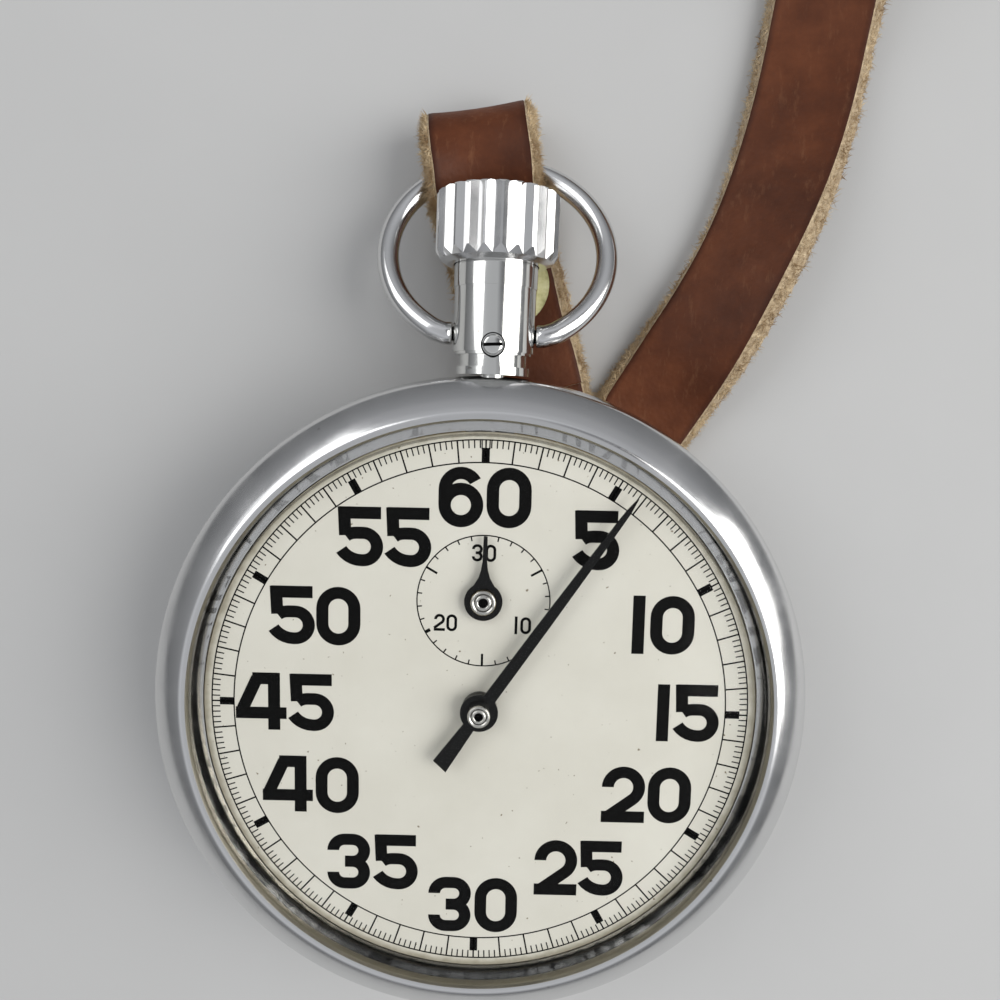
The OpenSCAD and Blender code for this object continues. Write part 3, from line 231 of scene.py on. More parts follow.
def clearDome():
    s = Shade("clearCrystal", (1, 1, 1), 0.0, 0.03)
    s.shader.inputs["IOR"].default_value = 1.49
    out = s.tree.nodes["Material Output"]
    clear = s.add("ShaderNodeBsdfTransparent", Color=(0.985, 0.985, 0.98, 1))
    facing = s.add("ShaderNodeLayerWeight", Blend=0.12)
    mix = s.add("ShaderNodeMixShader")
    s.join(s.span(facing.outputs["Fresnel"], 0.001, 0.5, 0.004, 0.9), mix.inputs["Fac"])
    s.shader.inputs["Metallic"].default_value = 1.0
    reach = s.add("ShaderNodeVectorMath", operation="LENGTH")
    s.join(s.place((1, 1, 0)), reach.inputs[0])
    s.colour(s.ramp(s.span(reach.outputs["Value"], 0, 1, 0.0209, 0.0217), (0.0, (1, 1, 1)), (1.0, (0.42, 0.39, 0.33))))
    s.join(clear.outputs["BSDF"], mix.inputs[1])
    s.join(s.shader.outputs["BSDF"], mix.inputs[2])
    s.join(mix.outputs["Shader"], out.inputs["Surface"])
    s.bump(s.grain(420, 2, 0.5), 0.03, 0.00003)
    return s


crystalGlass = clearDome()


def jewel():
    s = Shade("rubyJewel", (0.55, 0.02, 0.08), 0.0, 0.08)
    s.colour(s.blend(s.grain(900), (0.4, 0.01, 0.05), (0.65, 0.04, 0.12)))
    s.shader.inputs["Coat Weight"].default_value = 0.5
    return s


ruby = jewel()


def oldBrass():
    s = Shade("tarnishedBrass", (0.33, 0.31, 0.14), 1.0, 0.34)
    stain = s.grain(700, 5, 0.65)
    s.colour(s.ramp(stain, (0.3, (0.3, 0.29, 0.12)), (0.5, (0.6, 0.57, 0.3)), (0.75, (0.8, 0.77, 0.5))))
    s.roughness(s.span(stain, 0.25, 0.55))
    s.bump(stain, 0.15, 0.00004)
    return s


studBrass = oldBrass()


def leatherGrain():
    s = Shade("leatherGrain", (0.2, 0.07, 0.03), 0.0, 0.42)
    tone = s.grain(130, 5, 0.62)
    worn = s.ramp(tone, (0.27, (0.05, 0.0135, 0.005)), (0.5, (0.098, 0.027, 0.009)), (0.74, (0.165, 0.05, 0.018)))
    thread = s.grain(1500, 5, 0.7, s.place((1, 0.25, 1), (0, 0, 0.4)))
    worn = s.blend(s.span(thread, 0, 0.4, 0.56, 0.8), worn, (0.25, 0.115, 0.055))
    s.shader.inputs["Specular IOR Level"].default_value = 0.22
    across = s.add("ShaderNodeAttribute", attribute_name="across")
    rim = s.ramp(across.outputs["Fac"], (0.0, (1, 1, 1)), (0.84, (1, 1, 1)), (0.97, (0.5, 0.42, 0.36)))
    s.colour(s.blend(1.0, worn, rim, "MULTIPLY"))
    s.roughness(s.span(s.grain(900, 4, 0.6), 0.42, 0.66))
    pore = s.add("ShaderNodeTexVoronoi", Scale=2300)
    s.join(s.place(), pore.inputs["Vector"])
    s.bump(s.span(pore.outputs["Distance"], 0, 1, 0, 0.6), 0.22, 0.00006)
    s.bump(s.grain(650, 5, 0.65), 0.3, 0.00012)
    return s


def leatherCut(name, dark, pale):
    s = Shade(name, pale, 0.0, 0.85)
    fibre = s.grain(1900, 6, 0.75, s.place((1, 1, 2.4)))
    s.colour(s.ramp(fibre, (0.3, dark), (0.55, tuple((a + b) / 2 for a, b in zip(dark, pale))), (0.72, pale)))
    s.bump(fibre, 0.9, 0.0002)
    s.shader.inputs["Sheen Weight"].default_value = 0.25
    return s


leather = leatherGrain()
cutEdge = leatherCut("leatherCutEdge", (0.2, 0.12, 0.055), (0.8, 0.64, 0.41))
fibre = Shade("leatherFibre", (0.5, 0.37, 0.2), 0.0, 0.8)
fibre.colour(fibre.ramp(fibre.grain(600), (0.35, (0.34, 0.22, 0.11)), (0.65, (0.78, 0.64, 0.42))))
fleshSide = leatherCut("leatherFleshSide", (0.14, 0.08, 0.035), (0.36, 0.24, 0.13))
print("materials ready")

# ---- the frame's own pieces take these finishes
finishes = {
    chrome: ("case_band", "case_back", "bezel", "crown"),
    neckSteel: ("pendant_neck", "pendant_screw"),
    crystalGlass: ("crystal",),
    dialCream: ("dial",),
    handBlack: ("second_hand", "minute_hand"),
    studBrass: ("strap_stud", "strap_rivet"),
    frosted: ("main_plate", "barrel_bridge", "train_bridge", "balance_cock", "pallet_bridge"),
    gilt: ("barrel", "barrel_cover", "second_wheel", "third_wheel", "seconds_wheel", "escape_wheel",
           "balance_wheel", "transfer_wheel", "minute_wheel", "stem_sleeve"),
    hubSteel: ("seconds_arbor",),
    blued: ("click_spring", "mainspring", "hairspring", "movement_screws"),
    ruby: ("pivot_jewels",),
}
given = set()
for finish, names in finishes.items():
    for name in names:
        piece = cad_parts[name]
        piece.data.materials.clear()
        piece.data.materials.append(finish.material)
        given.add(name)
for name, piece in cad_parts.items():
    if name not in given:
        piece.data.materials.clear()
        piece.data.materials.append(steel.material)


# ---- mesh helpers, all in millimetres until the piece is finished
def newPiece(name, bm, materials, body="case", smooth=True):
    bmesh.ops.transform(bm, matrix=Matrix.Scale(mm, 4), verts=bm.verts)
    mesh = bpy.data.meshes.new(name)
    bm.to_mesh(mesh)
    bm.free()
    for face in mesh.polygons:
        face.use_smooth = smooth
    for entry in materials:
        mesh.materials.append(entry.material)
    piece = bpy.data.objects.new(name, mesh)
    bpy.context.scene.collection.objects.link(piece)
    if body:
        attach(piece, body)
    return piece


def outward(bm):
    bmesh.ops.remove_doubles(bm, verts=bm.verts, dist=1e-5)
    bmesh.ops.recalc_face_normals(bm, faces=bm.faces)




def sweepRings(rings):  # one loop of points is extruded from ring to ring, and the rows of vertices come back with it
    bm = bmesh.new()
    rows = [[bm.verts.new(p) for p in rings[0]]]
    loop = [bm.edges.new((rows[0][i - 1], rows[0][i])) for i in range(len(rings[0]))]
    bm.faces.new(rows[0])
    for ring in rings[1:]:
        made = bmesh.ops.extrude_edge_only(bm, edges=loop)["geom"]
        fresh = {v for v in made if isinstance(v, bmesh.types.BMVert)}
        row = []
        for v, p in zip(rows[-1], ring):
            twin = next(e.other_vert(v) for e in v.link_edges if e.other_vert(v) in fresh)
            twin.co = p
            row.append(twin)
        rows.append(row)
        loop = [e for e in made if isinstance(e, bmesh.types.BMEdge) and e.verts[0] in fresh and e.verts[1] in fresh]
    bm.faces.new(rows[-1])
    bmesh.ops.recalc_face_normals(bm, faces=bm.faces)
    return bm, rows


def penStroke(bm, start, heading, width, moves):  # a flat band drawn by a broad pen
    angle = math.radians(heading)
    side = Vector((-math.sin(angle), math.cos(angle), 0)) * width / 2
    at = Vector(start)
    a = bm.verts.new(at - side)
    b = bm.verts.new(at + side)
    edge = [bm.edges.new((a, b))]
    for move in moves:
        way = Vector((math.cos(angle), math.sin(angle), 0))
        if move[0] == "go":
            made = bmesh.ops.extrude_edge_only(bm, edges=edge)["geom"]
            ends = [v for v in made if isinstance(v, bmesh.types.BMVert)]
            bmesh.ops.translate(bm, verts=ends, vec=way * move[1])
            edge = [e for e in made if isinstance(e, bmesh.types.BMEdge) and set(e.verts) == set(ends)]
            at = at + way * move[1]
        else:
            radius, turn = move[1], math.radians(move[2])
            left = Vector((-way.y, way.x, 0)) * math.copysign(radius, turn)
            centre = at + left
            steps = max(3, int(abs(move[2]) / 11))
            made = bmesh.ops.spin(bm, geom=edge, cent=centre, axis=(0, 0, 1), angle=turn, steps=steps)["geom_last"]
            edge = [e for e in made if isinstance(e, bmesh.types.BMEdge)]
            at = centre + Matrix.Rotation(turn, 3, "Z") @ (at - centre)
            angle += turn


def flatToSolid(bm, low, height):
    bmesh.ops.recalc_face_normals(bm, faces=bm.faces)
    for face in bm.faces:
        if face.normal.z < 0:
            face.normal_flip()
    made = bmesh.ops.extrude_face_region(bm, geom=bm.faces[:] + bm.edges[:])["geom"]
    bmesh.ops.translate(bm, verts=[v for v in made if isinstance(v, bmesh.types.BMVert)], vec=(0, 0, height))
    bmesh.ops.translate(bm, verts=bm.verts, vec=(0, 0, low))
    bmesh.ops.recalc_face_normals(bm, faces=bm.faces)


def lathe(profile, steps=96, centre=(0, 0), axis="Z"):
    bm = bmesh.new()
    verts = [bm.verts.new((r, 0, z)) for r, z in profile]
    edges = [bm.edges.new((verts[i], verts[i + 1])) for i in range(len(verts) - 1)]
    bmesh.ops.spin(bm, geom=verts + edges, cent=(0, 0, 0), axis=(0, 0, 1), angle=math.tau, steps=steps, use_merge=True)
    outward(bm)
    if axis == "Y":
        bmesh.ops.rotate(bm, verts=bm.verts, matrix=Matrix.Rotation(-math.pi / 2, 3, "X"))
    bmesh.ops.translate(bm, verts=bm.verts, vec=(centre[0], centre[1], 0))
    return bm


def smoothRoute(rows, steps):  # a curve through every row
    out = []
    last = len(rows) - 1
    for i in range(last):
        p = [rows[max(i - 1, 0)], rows[i], rows[i + 1], rows[min(i + 2, last)]]
        for k in range(steps):
            t = k / steps
            out.append(tuple(
                0.5 * (2 * b + (c - a) * t + (2 * a - 5 * b + 4 * c - d) * t * t + (3 * b - a - 3 * c + d) * t ** 3)
                for a, b, c, d in zip(*p)))
    out.append(rows[-1])
    return out


# ---- the dial's print: numbers, tracks and the minute counter
numbers = {
    "height": 4.58, "width": 3.38, "stroke": 0.93, "lean": 0.018,
    "places": [
        ("6", -1.98, 16.33), ("0", 1.64, 16.4), ("5", 8.29, 13.43), ("1", 11.91, 7.06), ("0", 14.5, 7.12),
        ("1", 14.2, 0.18), ("5", 16.72, 0.24), ("2", 11.5, -6.56), ("0", 15.1, -6.48), ("2", 6.5, -12.82),
        ("5", 10.0, -12.74), ("3", -1.79, -16.24), ("0", 1.89, -16.18), ("3", -9.87, -12.97), ("5", -6.22, -12.9),
        ("4", -14.72, -6.79), ("0", -10.89, -6.72), ("4", -16.86, -0.2), ("5", -13.08, -0.12),
        ("5", -14.66, 6.74), ("0", -11.04, 6.8), ("5", -9.58, 13.02), ("5", -5.93, 13.1)
    ],
}
counter = {"centre": (0.0, 8.42), "radius": 5.07, "height": 1.32, "width": 0.82, "stroke": 0.21, "line": 0.095,
           "places": [("3", -0.6, 3.72), ("0", 0.42, 3.72), ("1", 2.56, -1.78), ("0", 3.3, -1.78),
                      ("2", -3.3, -1.78), ("0", -2.36, -1.78)]}
track = {"outer": 20.7, "inner": 19.0, "line": 0.1, "second": 0.12, "fifth": 0.092, "fifthLength": 0.62,
         "block": 0.6, "blockLength": 1.1, "turn": 0.012}
printHeight = 0.014


def digitStrokes(digit, w, h):  # start, heading and moves inside a box that is w by h between the stroke's middles
    r = w / 2
    q = h / 4
    bend = math.degrees(math.asin(min(1, (h / 2 - r) / r))) if r > h / 2 - r else 90
    strokes = {
        "0": [((0, h / 2), 90, [("go", h / 2 - r), ("turn", r, -180), ("go", h - 2 * r), ("turn", r, -180),
                               ("go", h / 2 - r)])],
        "1": [((w / 2, -h * 0.124), 90, [("go", h * 1.248)])],
        "2": [((0, h - r), 90, [("turn", r, -233), ("go", h * 0.665)]), ((-w * 0.19, 0), 0, [("go", w * 1.38)])],
        "3": [((0, h - q), 90, [("turn", q, -90), ("go", w - 2 * q), ("turn", q, -180), ("go", w * 0.25)]),
              ((w * 0.38, h / 2), 0, [("go", w - q - w * 0.38), ("turn", q, -180), ("go", w - 2 * q), ("turn", q, -90)])],
        "4": [((w * 0.857, -h * 0.11), 90, [("go", h * 1.248)]), ((-w * 0.242, h * 0.259), 0, [("go", w * 1.454)]),
              ((-w * 0.099, h * 0.259), 65.2, [("go", h * 0.837)]), ((w * 0.242, h * 1.013), 0, [("go", w * 0.7)])],
        "5": [((w * 0.03, h * 1.124), -87.4, [("go", h * 0.6)]), ((-w * 0.12, h), 0, [("go", w * 1.294)]),
              ((w * 0.09, h * 0.51), 38, [("turn", r, -38), ("go", w * 0.227), ("turn", h * 0.288, -180),
                                          ("go", w * 0.05), ("turn", r * 1.53, -55)])],
        "6": [((0, r), 90, [("turn", r, -180), ("turn", r, -180)]), ((0, r), 90, [("go", h - 2 * r), ("turn", r, -150)])],
    }
    return strokes[digit]


def drawDigit(bm, digit, x, y, height, width, stroke, lean):
    part = bmesh.new()
    w, h = width - stroke, height - stroke
    for k, (start, heading, moves) in enumerate(digitStrokes(digit, w, h)):  # each stroke a hair above the last
        penStroke(part, (*start, k * 0.003), heading, stroke, moves)
    bmesh.ops.translate(part, verts=part.verts, vec=(-w / 2, -h / 2, 0))
    bmesh.ops.rotate(part, verts=part.verts, matrix=Matrix.Rotation(lean, 3, "Z"))
    bmesh.ops.translate(part, verts=part.verts, vec=(x, y, 0))
    spare = bpy.data.meshes.new("spare")
    part.to_mesh(spare)
    part.free()
    bm.from_mesh(spare)
    bpy.data.meshes.remove(spare)


def drawRing(bm, centre, radius, width, steps=240):
    a = bm.verts.new((centre[0] + radius - width / 2, centre[1], 0))
    b = bm.verts.new((centre[0] + radius + width / 2, centre[1], 0))
    edge = bm.edges.new((a, b))
    bmesh.ops.spin(bm, geom=[a, b, edge], cent=(centre[0], centre[1], 0), axis=(0, 0, 1), angle=math.tau,
                   steps=steps, use_merge=True)


def drawTick(bm, centre, angle, fromRadius, toRadius, width):  # angle runs clockwise from twelve o'clock
    middle = (fromRadius + toRadius) / 2
    turn = Matrix.Translation((centre[0], centre[1], 0)) @ Matrix.Rotation(-angle, 4, "Z")
    matrix = turn @ Matrix.Translation((0, middle, 0)) @ Matrix.Diagonal((width / 2, (toRadius - fromRadius) / 2, 1, 1))
    bmesh.ops.create_grid(bm, x_segments=1, y_segments=1, size=1, matrix=matrix)


def printNumbers():
    bm = bmesh.new()
    for digit, x, y in numbers["places"]:
        drawDigit(bm, digit, x, y, numbers["height"], numbers["width"] + (0.25 if digit == "4" else 0),
                  numbers["stroke"], numbers["lean"])
    flatToSolid(bm, dialTop - 0.002, printHeight)
    return newPiece("dialNumbers", bm, [dialInk], smooth=False)


def printTrack():
    bm = bmesh.new()
    outer, inner = track["outer"], track["inner"]
    drawRing(bm, (0, 0), outer, track["line"])
    drawRing(bm, (0, 0), inner, track["line"])
    for i in range(300):
        angle = math.tau * i / 300 - track["turn"]
        if i % 25 == 0:
            drawTick(bm, (0, 0), angle, inner, inner + track["blockLength"], track["block"])
        if i % 5 == 0:
            drawTick(bm, (0, 0), angle, inner, outer, track["second"])
        else:
            drawTick(bm, (0, 0), angle, outer - track["fifthLength"], outer, track["fifth"])
    for side in (-1, 1):  # the small open box over the sixty block
        drawTick(bm, (0, 0), side * 0.0145 - track["turn"], inner + 1.0, outer, 0.09)
    flatToSolid(bm, dialTop - 0.002, printHeight * 0.8)
    return newPiece("dialTrack", bm, [dialInk], smooth=False)


def printCounter():
    bm = bmesh.new()
    centre, radius = counter["centre"], counter["radius"]
    drawRing(bm, centre, radius, counter["line"], 120)
    for i in range(30):
        angle = math.tau * i / 30 - track["turn"]
        long = i in (0, 5, 15, 25)
        mark = i in (10, 20)
        drawTick(bm, centre, angle, radius - (0.95 if long else 0.42 if mark else 0.36), radius,
                 0.17 if long else 0.26 if mark else 0.1)
    for digit, x, y in counter["places"]:
        drawDigit(bm, digit, centre[0] + x, centre[1] + y, counter["height"], counter["width"], counter["stroke"], 0.012)
    flatToSolid(bm, dialTop - 0.002, printHeight * 0.8)
    return newPiece("dialCounter", bm, [dialInk], smooth=False)


printNumbers()
printTrack()
printCounter()
print("dial printed")

# ---- the bushes that hold the hands: a bright ring, with flat black discs as painted shade in its seat groove and its pivot hole
bush = {"second": (0, 0, 13.15, 0.86), "minute": (0, 8.5, 12.2, 0.96), "steps": 72}


def hubBush(name, x, y, top, radius, body):
    ring = lathe([(radius * 0.36, top - 0.05), (radius * 0.37, top + 0.05), (radius * 0.42, top + 0.09),
                  (radius * 0.54, top + 0.1), (radius * 0.62, top + 0.05), (radius * 0.66, top - 0.01),
                  (radius * 0.71, top - 0.01), (radius * 0.77, top + 0.07), (radius * 0.86, top + 0.1),
                  (radius * 0.95, top + 0.06), (radius, top - 0.03), (radius, top - 0.12)], bush["steps"], (x, y))
    newPiece(name + "Ring", ring, [hubSteel], body)
    # a flat black disc over the pivot hole: painted shade
    holeShade = lathe([(0, top + 0.012), (radius * 0.38, top + 0.012)], bush["steps"], (x, y))
    newPiece(name + "Hole", holeShade, [darkHole], body)
    # a flat black ring in the groove of the seat: painted shade
    grooveShade = lathe([(radius * 0.6, top + 0.006), (radius * 0.74, top + 0.006)], bush["steps"], (x, y))
    newPiece(name + "GrooveShade", grooveShade, [darkHole], body)


hubBush("secondBush", *bush["second"], "seconds")
hubBush("minuteBush", *bush["minute"], "minute_counter")
collet = lathe([(0.9, 12.22), (1.25, 12.22), (1.31, 12.0), (1.37, 11.6), (1.36, 11.32), (0.9, 11.32)], bush["steps"])
newPiece("secondCollet", collet, [handBlack], "seconds")
print("bushes made")

# ---- the pendant's screw: its domed head, with dark solids as painted shade in the gap round it and in its slot
screw = {"x": 0, "y": 27.67, "top": 12.05, "radius": 0.8}


def pendantScrew():
    x, y, top, r = screw["x"], screw["y"], screw["top"], screw["radius"]
    # a thin dark ring round the head: painted shade in the gap
    gapShade = lathe([(r * 0.98, top - 0.2), (r * 1.0, top + 0.03), (r * 1.1, top + 0.03), (r * 1.13, top - 0.2)], 64, (x, y))
    newPiece("screwGapShade", gapShade, [darkHole])
    head = lathe([(0, top + 0.17), (r * 0.35, top + 0.16), (r * 0.7, top + 0.11), (r * 0.9, top + 0.06), (r * 0.95, top - 0.05)],
                 64, (x, y))
    newPiece("screwHead", head, [neckSteel])
    # a dark block in the head: painted shade in the slot
    slotShade = bmesh.new()
    bmesh.ops.create_cube(slotShade, size=1, matrix=Matrix.Translation((x, y, top + 0.115)) @ Matrix.Rotation(0.06, 4, "Z")
                          @ Matrix.Diagonal((r * 1.72, 0.24, 0.12, 1)))
    bmesh.ops.bevel(slotShade, geom=slotShade.edges[:], offset=0.02, segments=2, affect="EDGES", profile=0.5, material=-1)
    newPiece("screwSlotShade", slotShade, [darkHole], smooth=False)


pendantScrew()
print("pendant screw made")

# ---- the bezel, turned with one smooth crown between its crisp edges
bezel = {"steps": 288, "crown": [(25.2, 10.2), (25.3, 10.35), (25.32, 10.7), (25.22, 10.97), (24.98, 11.24), (24.4, 11.71),
                                 (23.8, 12.13), (23.2, 12.49), (22.86, 12.67)],
         "inner": [(22.72, 12.74), (22.5, 12.78), (22.25, 12.74), (22.13, 12.6), (22.1, 12.45), (22.1, 11.9),
                   (22.85, 11.9), (22.85, 11.2), (23.75, 11.2), (23.75, 10.2)]}


def makeBezel():
    rows = smoothRoute([(r, z) for r, z in bezel["crown"]], 5)
    bm = lathe(rows + bezel["inner"] + [rows[0]], bezel["steps"])
    for face in bm.faces:
        spot = face.calc_center_median()
        face.material_index = 1 if math.hypot(spot.x, spot.y) < 22.3 and spot.z > 11.95 else 0
    piece = newPiece("bezelTurned", bm, [chrome, grimyMetal])
    piece.data.set_sharp_from_angle(angle=math.radians(32))
    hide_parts("bezel")


# ---- the bow, a round wire between its two pins
bowShape = {"a": 8.62, "b": 8.1, "wire": 0.85, "pin": 0.55, "neck": 3.1, "pivot": 28.6, "tilt": 23.0, "sides": 32}


def makeBow():
    a, b, wire = bowShape["a"], bowShape["b"], bowShape["wire"]
    e = (a - b) / (2 - math.sqrt(2))
    sideR, endR = a - e, a - e + e * math.sqrt(2)
    footX = bowShape["neck"] + wire + 0.1
    footY = e - math.sqrt(endR ** 2 - footX ** 2)
    footA = math.degrees(math.acos(footX / endR))
    cheek = bowShape["neck"] + 0.1
    stations = [(cheek - 1.2, footY, -90, bowShape["pin"]), (cheek, footY, -90, bowShape["pin"]),
                (cheek, footY, -90, wire - 0.12), (cheek + 0.1, footY, -90, wire), (footX - 0.25, footY + 0.02, -84, wire)]

    def arc(cx, cy, r, a0, a1, n):
        for i in range(n):
            t = math.radians(a0 + (a1 - a0) * i / n)
            stations.append((cx + r * math.cos(t), cy + r * math.sin(t), math.degrees(t), wire))

    arc(0, e, endR, 4 - footA, -45, 6)
    arc(e, 0, sideR, -45, 45, 30)
    arc(0, -e, endR, 45, 90, 18)
    half = list(stations)
    stations.append((0, b, 90, wire))
    stations.extend((-x, y, 180 - t, r) for x, y, t, r in reversed(half))
    lean = Matrix.Translation((0, bowShape["pivot"], stemHeight)) @ Matrix.Rotation(math.radians(-bowShape["tilt"]), 4, "X")
    rings = []
    for x, y, t, r in stations:
        out = Vector((math.cos(math.radians(t)), math.sin(math.radians(t)), 0))
        middle = Vector((x, y - footY, 0))
        rings.append([lean @ (middle + out * r * math.cos(math.tau * k / bowShape["sides"])
                              + Vector((0, 0, r * math.sin(math.tau * k / bowShape["sides"])))) for k in range(bowShape["sides"])])
    bm, rows = sweepRings(rings)
    piece = newPiece("bowWire", bm, [chrome], "bow")
    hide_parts("bow")


makeBezel()
makeBow()
print("bezel and bow made")

# ---- the crown's spring, made as one fixed coil; the real spring shortens as the crown is pressed, this one does not
coil = {"radius": 1.85, "wire": 0.18, "foot": 32.3, "head": 37.65, "turns": 6, "rings": 20, "sides": 10}


def makeSpring():
    low, high = coil["foot"] + coil["wire"] + 0.05, coil["head"] - coil["wire"] - 0.05
    count = coil["turns"] * coil["rings"]
    rings = []
    for i in range(count + 1):
        a = math.tau * i / coil["rings"]
        out = Vector((math.sin(a), 0, math.cos(a)))
        middle = Vector((0, low + (high - low) * i / count, stemHeight)) + out * coil["radius"]
        rings.append([middle + (out * math.cos(b) + Vector((0, 1, 0)) * math.sin(b)) * coil["wire"]
                      for b in (math.tau * k / coil["sides"] for k in range(coil["sides"]))])
    bm, rows = sweepRings(rings)
    outward(bm)
    piece = newPiece("crownCoil", bm, [blued], "case")
    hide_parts("crown_spring")
    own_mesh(piece)


makeSpring()
print("spring made")

# ---- the strap: rows are x, y, z, plan angle, lean and cupping of its middle line
strap = {"width": 9.2, "thick": 1.5, "steps": 7}
loopRoute = [
    (3.75, 24.4, 2.33, 17, 0, 0), (2.9, 27.2, 2.33, 17, 0, 0), (1.8, 30, 2.33, 17, 0, 0), (0.9, 33.2, 2.33, 17, 0, 0), (-0.1, 36.4, 2.33, 16, 0, 0.005),
    (-0.8, 38.5, 2.36, 14, 0, 0.04), (-1.1, 39.6, 2.48, 12, 0, 0.06), (-1.3, 40.3, 2.75, 10, 0, 0.08),
    (-1.3, 40.68, 3.3, 8, 0, 0.085), (-1.3, 41.02, 3.9, 8, 0, 0.08), (-1.4, 41.52, 4.6, 8, 0, 0.07),
    (-1.5, 42.35, 4.95, 8, 0, 0.06), (-1.7, 43.4, 5, 9, 0, 0.055), (-1.9, 44.65, 4.85, 10, 0, 0.03),
    (-2, 45.6, 4.3, 10, 0, 0.02), (-2.1, 46.2, 3.4, 10, 0, 0.01), (-2.1, 46.2, 2.4, 10, 0, 0.005),
    (-2, 45.7, 1.5, 10, 0, 0), (-1.9, 44.8, 0.95, 11, 0, 0), (-1.7, 43.4, 0.78, 12, 0, 0), (-1.2, 41, 0.77, 14, 0, 0),
    (0, 37.2, 0.77, 16, 0, 0), (1.4, 32.8, 0.77, 17, 0, 0), (2.6, 28.6, 0.77, 17, 0, 0)
]
leadRoute = [
    (2.6, 28.6, 0.77, 17, 0, 0), (3.5, 25.6, 0.77, 17, 0, 0), (4.3, 22.9, 0.77, 20, 0, 0), (5.3, 20.9, 0.77, 46, 0, 0),
    (6.9, 19.7, 0.77, 70, 0, 0), (8.8, 19.3, 0.77, 91, 0, 0), (10.7, 19.8, 0.77, 112, 0, 0), (12.2, 21.1, 0.77, 134, 0, 0),
    (13.3, 22.9, 0.8, 148, -3, 0), (14.9, 25.6, 1.3, 149, -7, 0), (16.6, 28.6, 2.3, 150, -18, 0),
    (18.3, 31.8, 3, 153, -28, 0), (20.2, 35.8, 3.3, 156, -33, 0), (21.9, 40, 3.2, 160, -31, 0), (23.3, 44.4, 2.8, 163, -25, 0),
    (24.4, 49, 2.3, 167, -19, 0), (25.2, 53.8, 2, 171, -16, 0), (25.7, 58.6, 2.7, 175, -25, 0), (25.9, 63, 3.8, 179, -45, 0),
    (25.8, 67, 4.5, 182, -70, 0), (25.5, 71, 4.7, 184, -90, 0), (25, 75, 4.7, 190, -90, 0), (23.4, 79.6, 4.7, 206, -90, 0),
    (20.6, 84, 4.7, 212, -90, 0), (17.8, 89, 4.7, 206, -90, 0), (16.6, 94.6, 4.7, 184, -90, 0), (18, 100.4, 4.7, 158, -90, 0),
    (22, 105, 4.7, 122, -90, 0), (28, 107, 4.7, 92, -90, 0), (34, 105, 4.7, 58, -90, 0), (38, 100.4, 4.7, 22, -90, 0),
    (39.4, 94.6, 4.7, -4, -90, 0), (38.2, 89, 4.7, -26, -90, 0), (34.6, 84, 4.7, -40, -90, 0), (30.6, 79.6, 4.7, -36, -90, 0),
    (27.7, 75, 4.7, -16, -90, 0), (27.3, 71, 4.7, -4, -90, 0), (27.4, 68.6, 4.7, 0, -90, 0)
]


# across the strip from its grain face round to its flesh face: place and height, the cut edges slant outwards
section = [(-0.424, 0.86), (-0.414, 0.97), (-0.38, 1.0), (-0.27, 1.0), (-0.14, 1.0), (0, 1.0), (0.14, 1.0), (0.27, 1.0),
           (0.38, 1.0), (0.414, 0.97), (0.424, 0.86), (0.442, 0.55), (0.462, 0.15), (0.48, -0.25), (0.492, -0.65),
           (0.484, -0.98), (0.3, -1.0), (0.1, -1.0), (-0.1, -1.0), (-0.3, -1.0), (-0.484, -0.98), (-0.492, -0.65),
           (-0.48, -0.25), (-0.462, 0.15), (-0.442, 0.55)]


def stripFrames(rows):
    frames = []
    for i, row in enumerate(rows):
        here = Vector(row[:3])
        way = (Vector(rows[min(i + 1, len(rows) - 1)][:3]) - Vector(rows[max(i - 1, 0)][:3])).normalized()
        plan, lean = math.radians(row[3]), math.radians(row[4])
        across = Vector((math.cos(plan) * math.cos(lean), math.sin(plan) * math.cos(lean), math.sin(lean)))
        up = way.cross(across).normalized()
        frames.append((here, across, up, row[5], way))
    return frames


def makeStrip(rows, grainSide):
    frames = stripFrames(rows)
    width, thick = strap["width"], strap["thick"]
    rings = []
    for here, across, up, cup, way in frames:
        ring = []
        for s, h in section:
            d = s * width
            p = here + across * d + up * (h * grainSide * thick / 2 - cup * d * d)
            rough = noise.noise(p * 1.7 + Vector((3, 1, 7)))
            fine = noise.noise(p * 5.0)
            edge = min(1, max(0, (abs(s) - 0.416) / 0.03))
            p = p + across * math.copysign(1, s) * edge * (rough * 0.13 + fine * 0.12 - 0.02)
            p = p + up * fine * (0.012 + 0.05 * edge)
            ring.append(p)
        rings.append(ring)
    bm, rows = sweepRings(rings)
    bm.verts.index_update()
    place = {v.index: k for row in rows for k, v in enumerate(row)}
    layer = bm.verts.layers.float.new("across")
    for v in bm.verts:
        v[layer] = min(1, abs(section[place[v.index]][0]) * 2.36)
    for face in bm.faces:
        spots = [section[place[v.index]] for v in face.verts]
        slant = sum(abs(x) for x, h in spots) / len(spots)
        high = sum(h for x, h in spots) / len(spots)
        face.material_index = 1 if len(spots) > 4 or (slant > 0.418 and -0.97 < high < 0.96) else (0 if high > 0 else 2)
    return bm, frames


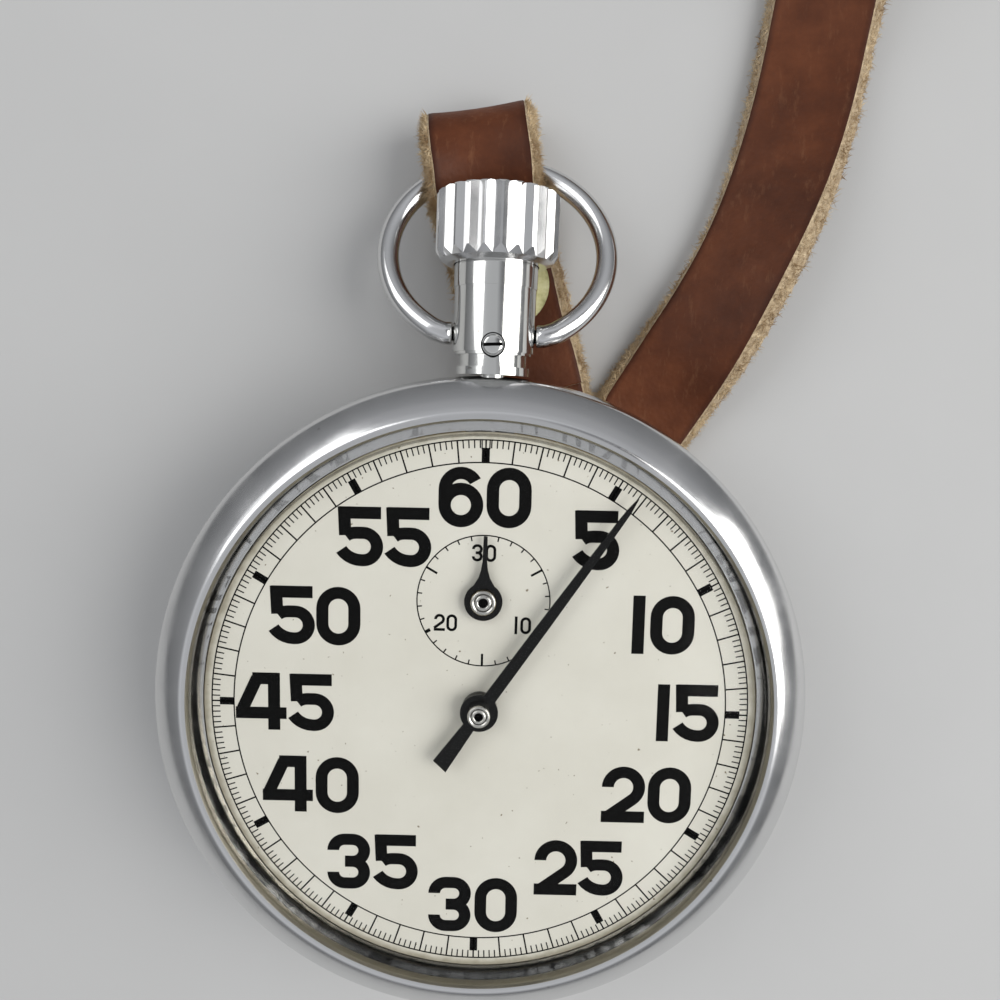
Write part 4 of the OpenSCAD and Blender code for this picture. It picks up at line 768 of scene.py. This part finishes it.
def makeFuzz(name, frames, grainSide, perStep, body, longest):  # short fibres along both cut edges
    bm = bmesh.new()
    tuft = bmesh.new()
    held = bpy.data.meshes.new(name + "Tuft")
    for here, across, up, cup, way in frames:
        for k in range(perStep):
            side = rng.choice((-1, 1))
            h = rng.uniform(-0.95, 0.85)
            d = side * strap["width"] * (0.458 - 0.034 * h)
            root = here + across * d + up * (h * grainSide * strap["thick"] / 2 - cup * d * d) + way * rng.uniform(-0.3, 0.3)
            aim = (across * side * rng.uniform(0.2, 1.0) + up * rng.uniform(-0.3, 0.9) * grainSide
                   + way * rng.uniform(-1.2, 1.2)).normalized()
            length = rng.uniform(0.15, longest) * rng.uniform(0.6, 1)
            turn = aim.to_track_quat("Z", "Y").to_matrix().to_4x4()
            matrix = Matrix.Translation(root + aim * length * 0.4) @ turn
            bmesh.ops.create_cone(tuft, segments=3, radius1=rng.uniform(0.02, 0.05), radius2=0.008, depth=length,
                                  matrix=matrix)
        tuft.to_mesh(held)
        bm.from_mesh(held)
        tuft.clear()
    tuft.free()
    bpy.data.meshes.remove(held)
    return newPiece(name, bm, [fibre], body, smooth=False)


def makeStrap():
    loopRows = smoothRoute(loopRoute, 10)
    bm, frames = makeStrip(loopRows, -1)
    loop = newPiece("strapLoop", bm, [leather, cutEdge, fleshSide], None)
    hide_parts("strap_loop")
    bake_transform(loop)
    loopFuzz = makeFuzz("strapLoopFuzz", frames, -1, 44, None, 1.0)
    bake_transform(loopFuzz)
    leadRows = smoothRoute(leadRoute, 13)
    bm, frames = makeStrip(leadRows, 1)
    lead = newPiece("strapLead", bm, [leather, cutEdge, fleshSide], "case")
    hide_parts("strap_lead")
    leadFuzz = makeFuzz("strapLeadFuzz", frames, 1, 30, "case", 0.95)


makeStrap()
print("strap made")

# ---- floor and light
stageBits = {"floor": 1.2, "colour": (0.5, 0.5, 0.495)}
bm = bmesh.new()
bmesh.ops.create_grid(bm, x_segments=1, y_segments=1, size=stageBits["floor"] / mm)
bmesh.ops.translate(bm, verts=bm.verts, vec=(0, 0, -0.03))
paper = Shade("floorPaper", stageBits["colour"], 0.0, 0.9)
paper.colour(paper.blend(paper.grain(60, 4), (0.49, 0.49, 0.485), (0.52, 0.52, 0.515)))
floor = newPiece("floor", bm, [paper], None)


def makeRoom():  # a grey room: lighter overhead, darker towards the walls, a dim corner behind the right shoulder
    world = bpy.data.worlds.new("room")
    bpy.context.scene.world = world
    world.use_nodes = True
    tree = world.node_tree
    background = tree.nodes["Background"]
    spot = tree.nodes.new("ShaderNodeTexCoord")
    parts = tree.nodes.new("ShaderNodeSeparateXYZ")
    tree.links.new(spot.outputs["Generated"], parts.inputs["Vector"])
    height = tree.nodes.new("ShaderNodeValToRGB")
    for at, level in ((0.0, 0.16), (0.35, 0.3), (0.72, 0.62), (1.0, 0.5)):
        element = height.color_ramp.elements[0] if at == 0 else height.color_ramp.elements.new(at) if at < 1 else height.color_ramp.elements[-1]
        element.position = at
        element.color = (level * 0.97, level * 0.99, level * 1.03, 1)
    tree.links.new(parts.outputs["Z"], height.inputs["Fac"])
    corner = tree.nodes.new("ShaderNodeVectorMath")
    corner.operation = "DISTANCE"
    corner.inputs[1].default_value = (0.42, 0.3, 0.86)
    tree.links.new(spot.outputs["Generated"], corner.inputs[0])
    shade = tree.nodes.new("ShaderNodeValToRGB")
    shade.color_ramp.elements[0].position = 0.16
    shade.color_ramp.elements[0].color = (0.22, 0.22, 0.23, 1)
    shade.color_ramp.elements[1].position = 0.38
    tree.links.new(corner.outputs["Value"], shade.inputs["Fac"])
    mix = tree.nodes.new("ShaderNodeMix")
    mix.data_type = "RGBA"
    mix.blend_type = "MULTIPLY"
    colours = [socket for socket in mix.inputs if socket.type == "RGBA"]
    mix.inputs["Factor"].default_value = 1
    tree.links.new(height.outputs["Color"], colours[0])
    tree.links.new(shade.outputs["Color"], colours[1])
    tree.links.new([socket for socket in mix.outputs if socket.type == "RGBA"][0], background.inputs["Color"])
    background.inputs["Strength"].default_value = 1.0


makeRoom()


def areaLight(name, place, target, size, power, colour=(1, 1, 1)):
    data = bpy.data.lights.new(name, "AREA")
    data.shape = "RECTANGLE"
    data.size, data.size_y = size
    data.energy = power
    data.color = colour
    lamp = bpy.data.objects.new(name, data)
    lamp.location = place
    lamp.rotation_euler = (Vector(target) - Vector(place)).to_track_quat("-Z", "Y").to_euler()
    bpy.context.scene.collection.objects.link(lamp)


areaLight("window", (0.42, 0.03, 0.36), (0, 0.02, 0), (0.44, 0.5), 2.7, (1, 0.99, 0.97))
areaLight("fill", (-0.38, 0.24, 0.42), (0, 0, 0), (0.42, 0.34), 0.8)
print("light set")
